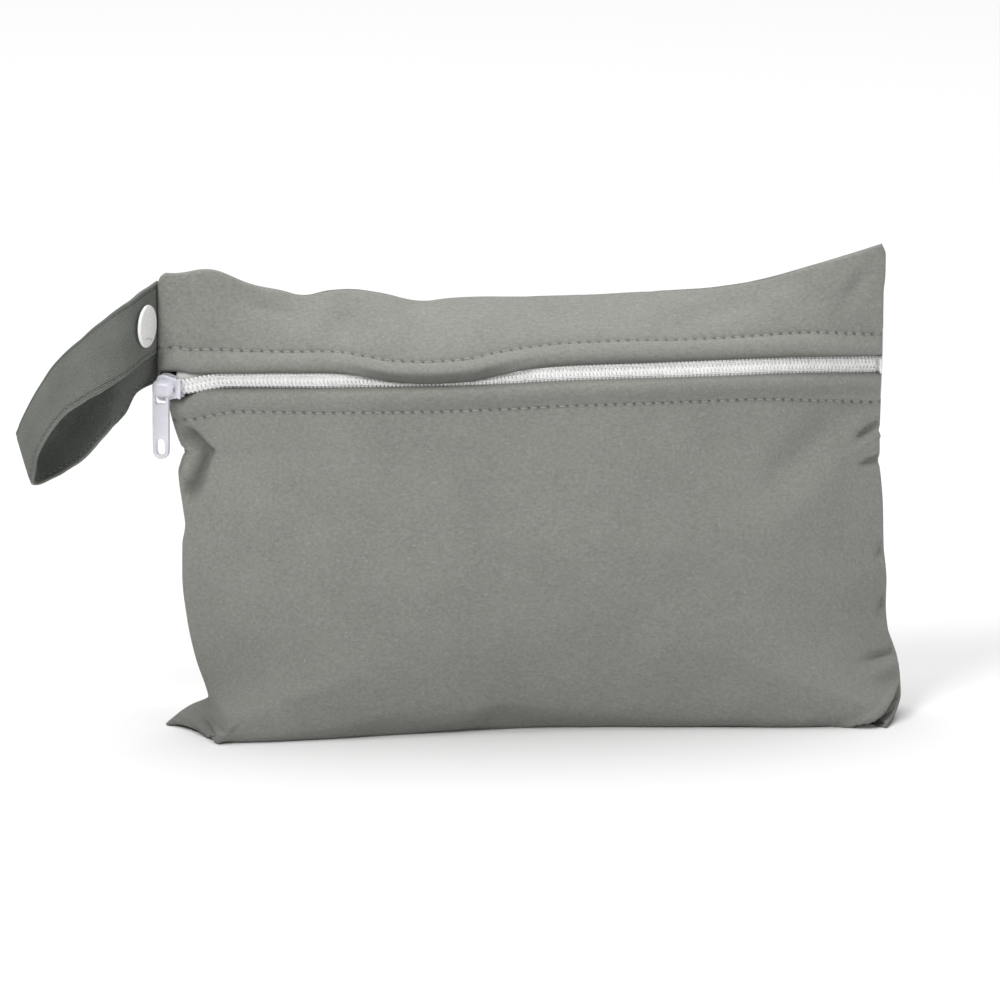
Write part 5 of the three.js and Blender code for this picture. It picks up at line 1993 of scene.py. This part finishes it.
    def stitches(self) -> None:
        """Threads of the seam near the band's lower edge, on both its faces."""
        t = self.even_shares(self.stitch_pitch / 8)
        centre, _, wide, face = self.frame_at(t)
        stitches = (len(t) - 1) // 8
        k = np.arange(stitches)[:, None] * 8 + np.arange(1, 8)[None]
        rise = 0.3 * np.sin(np.pi * (np.arange(1, 8) - 1) / 6) - 0.3
        section = circle(0.2, 0.16, 6)
        quads = grid_faces(7, 6, wrap=True)
        faces = (quads[None] + (np.arange(stitches) * 42)[:, None, None]).reshape(-1, 4)
        made = []
        for sense in (-1, 1):
            path = centre[k] - wide[k] * (self.width / 2 - self.hem_inset)
            path = path + face[k] * (sense * (self.thick / 2 + rise))[None, :, None]
            tube = path[:, :, None] + wide[k][:, :, None] * section[None, None, :, :1]
            tube = tube + face[k][:, :, None] * section[None, None, :, 1:]
            made.append((tube, faces))
        points, faces = joined(made)
        dress(make_mesh("strap_stitches", points, faces), self.finishes.band_thread)


@dataclass
class Snap:
    """The snap's two caps and the fastener between the strap's legs."""

    strap: Strap
    finishes: Finishes
    diameter: float = 15.2
    cap_thick: float = 1.7
    fastener: float = 9
    near: int = 1
    far: int = 18
    cap_turn: float = 5
    post_inset: float = 3.2
    groove: float = 0.4

    def lathe(self, profile: Sequence[tuple[float, float]], point: Array, axis: Array,
              sides: int = 96) -> tuple[Array, Array]:
        """A profile turned about an axis.

        Args:
            profile: Radius and height of each place.
            point: Where the axis starts.
            axis: Its direction.
            sides: Number of steps round it.

        Returns:
            Points by profile place and step, and faces.
        """
        first = unit(np.cross(axis, np.array([0.0, 0, 1])))
        second = np.cross(axis, first)
        turn = np.arange(sides) * 2 * np.pi / sides
        ring = np.cos(turn)[:, None] * first + np.sin(turn)[:, None] * second
        rows = np.array(profile, float)
        points = point + rows[:, 0, None, None] * ring[None] + rows[:, 1, None, None] * axis
        return points, grid_faces(len(rows), sides, wrap=True)

    def box_seat(self, node: str) -> Array:
        """Middle of a CAD piece, in millimetres."""
        low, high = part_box(node)
        return np.array((low + high) / 2) / MM

    def build(self) -> None:
        """Makes the caps and the fastener where the frame has them."""
        shares = np.array([self.near, self.far]) / (len(STRAP_STATIONS) - 1)
        _, _, _, face = self.strap.frame_at(shares)
        turn = math.radians(self.cap_turn)
        turned = np.array([face[0, 0] * math.cos(turn) - face[0, 1] * math.sin(turn),
                           face[0, 0] * math.sin(turn) + face[0, 1] * math.cos(turn), face[0, 2]])
        self.cap("snap_cap_dome", "snap_cap", turned)
        self.cap("snap_cap_back_dome", "snap_cap_back", face[1])
        low = self.box_seat("snap_cap") - face[0] * self.post_inset
        high = self.box_seat("snap_cap_back") - face[1] * self.post_inset
        axis = unit(high - low)
        length = float(np.linalg.norm(high - low))
        r = self.fastener / 2
        waist = r - self.groove
        profile = [(0.01, 0), (r - 0.3, 0), (r, 0.3), (r, length * 0.4), (waist, length * 0.42),
                   (waist, length * 0.46), (r, length * 0.48), (r, length - 0.3), (r - 0.3, length),
                   (0.01, length)]
        points, faces = self.lathe(profile, low, axis)
        piece = make_mesh("snap_post", points, faces)
        dress(piece, self.finishes.resin, replaces=["snap_fastener"])

    @staticmethod
    def scratch(offset: Array, axis: Array) -> Array:
        """Darkness of the short curved scuff low on a cap, from the distance to a shallow parabola.

        Args:
            offset: Places from the cap's middle.
            axis: The way that the cap faces.

        Returns:
            A shade from 0 to 1 at each place.
        """
        first = unit(np.cross(axis, np.array([0.0, 0, 1])))
        side = offset @ first
        up = offset @ np.cross(first, axis)
        line = -4.2 - 0.09 * (side - 1) ** 2 + 0.18 * side
        ends = smooth((3.6 - np.abs(side - 0.6)) / 1.2)
        return 0.75 * bell((up - line) / 0.2) * ends * (offset @ axis > 0.2)

    def cap(self, name: str, node: str, axis: Array) -> None:
        """A cap with a rounded rim and a low dome, its faint moulding ring near the edge.

        Args:
            name: The piece's name.
            node: The CAD node that it replaces.
            axis: The way that it faces.
        """
        r, t = self.diameter / 2, self.cap_thick
        bend = np.linspace(-np.pi / 2, np.pi / 2, 15)
        rim = [(r - t * 0.42 + t * 0.42 * math.cos(a), t * 0.4 + t * 0.4 * math.sin(a)) for a in bend]
        start = rim[-1]
        inner = []
        for s in np.linspace(0, 1, 44)[1:]:
            radius = start[0] * (1 - s) + 0.01 * s
            crown = start[1] + (t - start[1]) * (1 - (radius / start[0]) ** 2)
            inner.append((radius, crown - 0.05 * math.exp(-((radius - 5.6) / 0.25) ** 2)))
        profile = [(0.01, 0), (r * 0.5, 0), *rim, *inner]
        centre = self.box_seat(node)
        points, faces = self.lathe(profile, centre - axis * t / 2, axis, 180)
        piece = make_mesh(name, points, faces)
        add_shade(piece, self.scratch(points - centre, axis))
        dress(piece, self.finishes.resin, replaces=[node])


@dataclass(frozen=True)
class SoftBox:
    """A square light: where it stands, where it looks, its size and its power."""

    name: str
    place: tuple[float, float, float]
    target: tuple[float, float, float]
    size: float
    power: float
    colour: tuple[float, float, float] = (1, 1, 1)

    def build(self) -> None:
        """Makes the light."""
        light = bpy.data.lights.new(self.name, "AREA")
        light.shape, light.size, light.energy, light.color = "SQUARE", self.size, self.power, self.colour
        lamp = bpy.data.objects.new(self.name, light)
        bpy.context.scene.collection.objects.link(lamp)
        lamp.location = self.place
        way = Vector(self.target) - Vector(self.place)
        lamp.rotation_mode = "QUATERNION"
        lamp.rotation_quaternion = way.to_track_quat("-Z", "Y")


@dataclass
class Studio:
    """Pale floor, soft lights and the camera at the photograph's angle."""

    azimuth: float = -6.5
    elevation: float = 12
    distance: float = 4.0
    lens: float = 403.2
    shift_right: float = -22 / 2.8
    shift_up: float = 216 / 2.8
    floor_half: float = 5.0

    def build(self) -> None:
        """Makes the floor, lights, surroundings and camera."""
        self.floor()
        self.lights()
        self.camera()
        scene = bpy.context.scene
        scene.view_settings.view_transform = "Standard"
        scene.view_settings.look = "None"

    def floor(self) -> None:
        """A plain pale floor."""
        n = Nodes("studio_floor")
        n.shader.inputs["Base Color"].default_value = (0.86, 0.86, 0.86, 1)
        n.rough(0.9)
        n.shader.inputs["Specular IOR Level"].default_value = 0.1
        h = self.floor_half / MM
        corners = np.array([[-h, -h, 0], [h, -h, 0], [h, h, 0], [-h, h, 0]])
        piece = make_mesh("studio_floor", corners, np.array([[0, 1, 2, 3]]), False)
        piece.data.materials.append(n.material)

    def lights(self) -> None:
        """A large key from the upper front left, a broad top light and a pale surround."""
        SoftBox("key", (-1.5, -1.7, 2.2), (0, 0, 0.07), 1.1, 46).build()
        SoftBox("top", (0.0, 1.0, 2.8), (0, 0.9, 0), 3.6, 96).build()
        SoftBox("fill", (2.0, -2.0, 1.0), (0, 0, 0.06), 1.4, 15).build()
        world = bpy.data.worlds.new("surround")
        world.use_nodes = True
        back = world.node_tree.nodes["Background"]
        back.inputs["Color"].default_value = (1, 1, 1, 1)
        back.inputs["Strength"].default_value = 0.22
        bpy.context.scene.world = world

    def camera(self) -> None:
        """The far camera whose scale and place were read off the photograph."""
        a, e = math.radians(self.azimuth), math.radians(self.elevation)
        right = Vector((math.cos(a), math.sin(a), 0))
        back = Vector((math.sin(a) * math.cos(e), -math.cos(a) * math.cos(e), math.sin(e)))
        up = back.cross(right)
        target = right * (self.shift_right * MM) + up * (self.shift_up * MM)
        data = bpy.data.cameras.new("camera")
        data.lens, data.sensor_width, data.sensor_fit = self.lens, 36, "HORIZONTAL"
        data.clip_start, data.clip_end = 0.1, 40
        seen = bpy.data.objects.new("camera", data)
        bpy.context.scene.collection.objects.link(seen)
        seen.location = target + back * self.distance
        seen.rotation_mode = "QUATERNION"
        seen.rotation_quaternion = Matrix((right, up, back)).transposed().to_quaternion()
        bpy.context.scene.camera = seen


def main() -> None:
    """Builds the bag's sub-assemblies in order, then the studio."""
    logging.basicConfig(level=logging.INFO, format="%(name)s: %(message)s")
    finishes = Finishes()
    form = BagForm()
    Panels(form, finishes).build()
    Zip(form, finishes).build()
    Slider(form, finishes).build()
    strap = Strap(form, finishes)
    strap.build()
    Snap(strap, finishes).build()
    Studio().build()


if __name__ == "__main__":
    main()
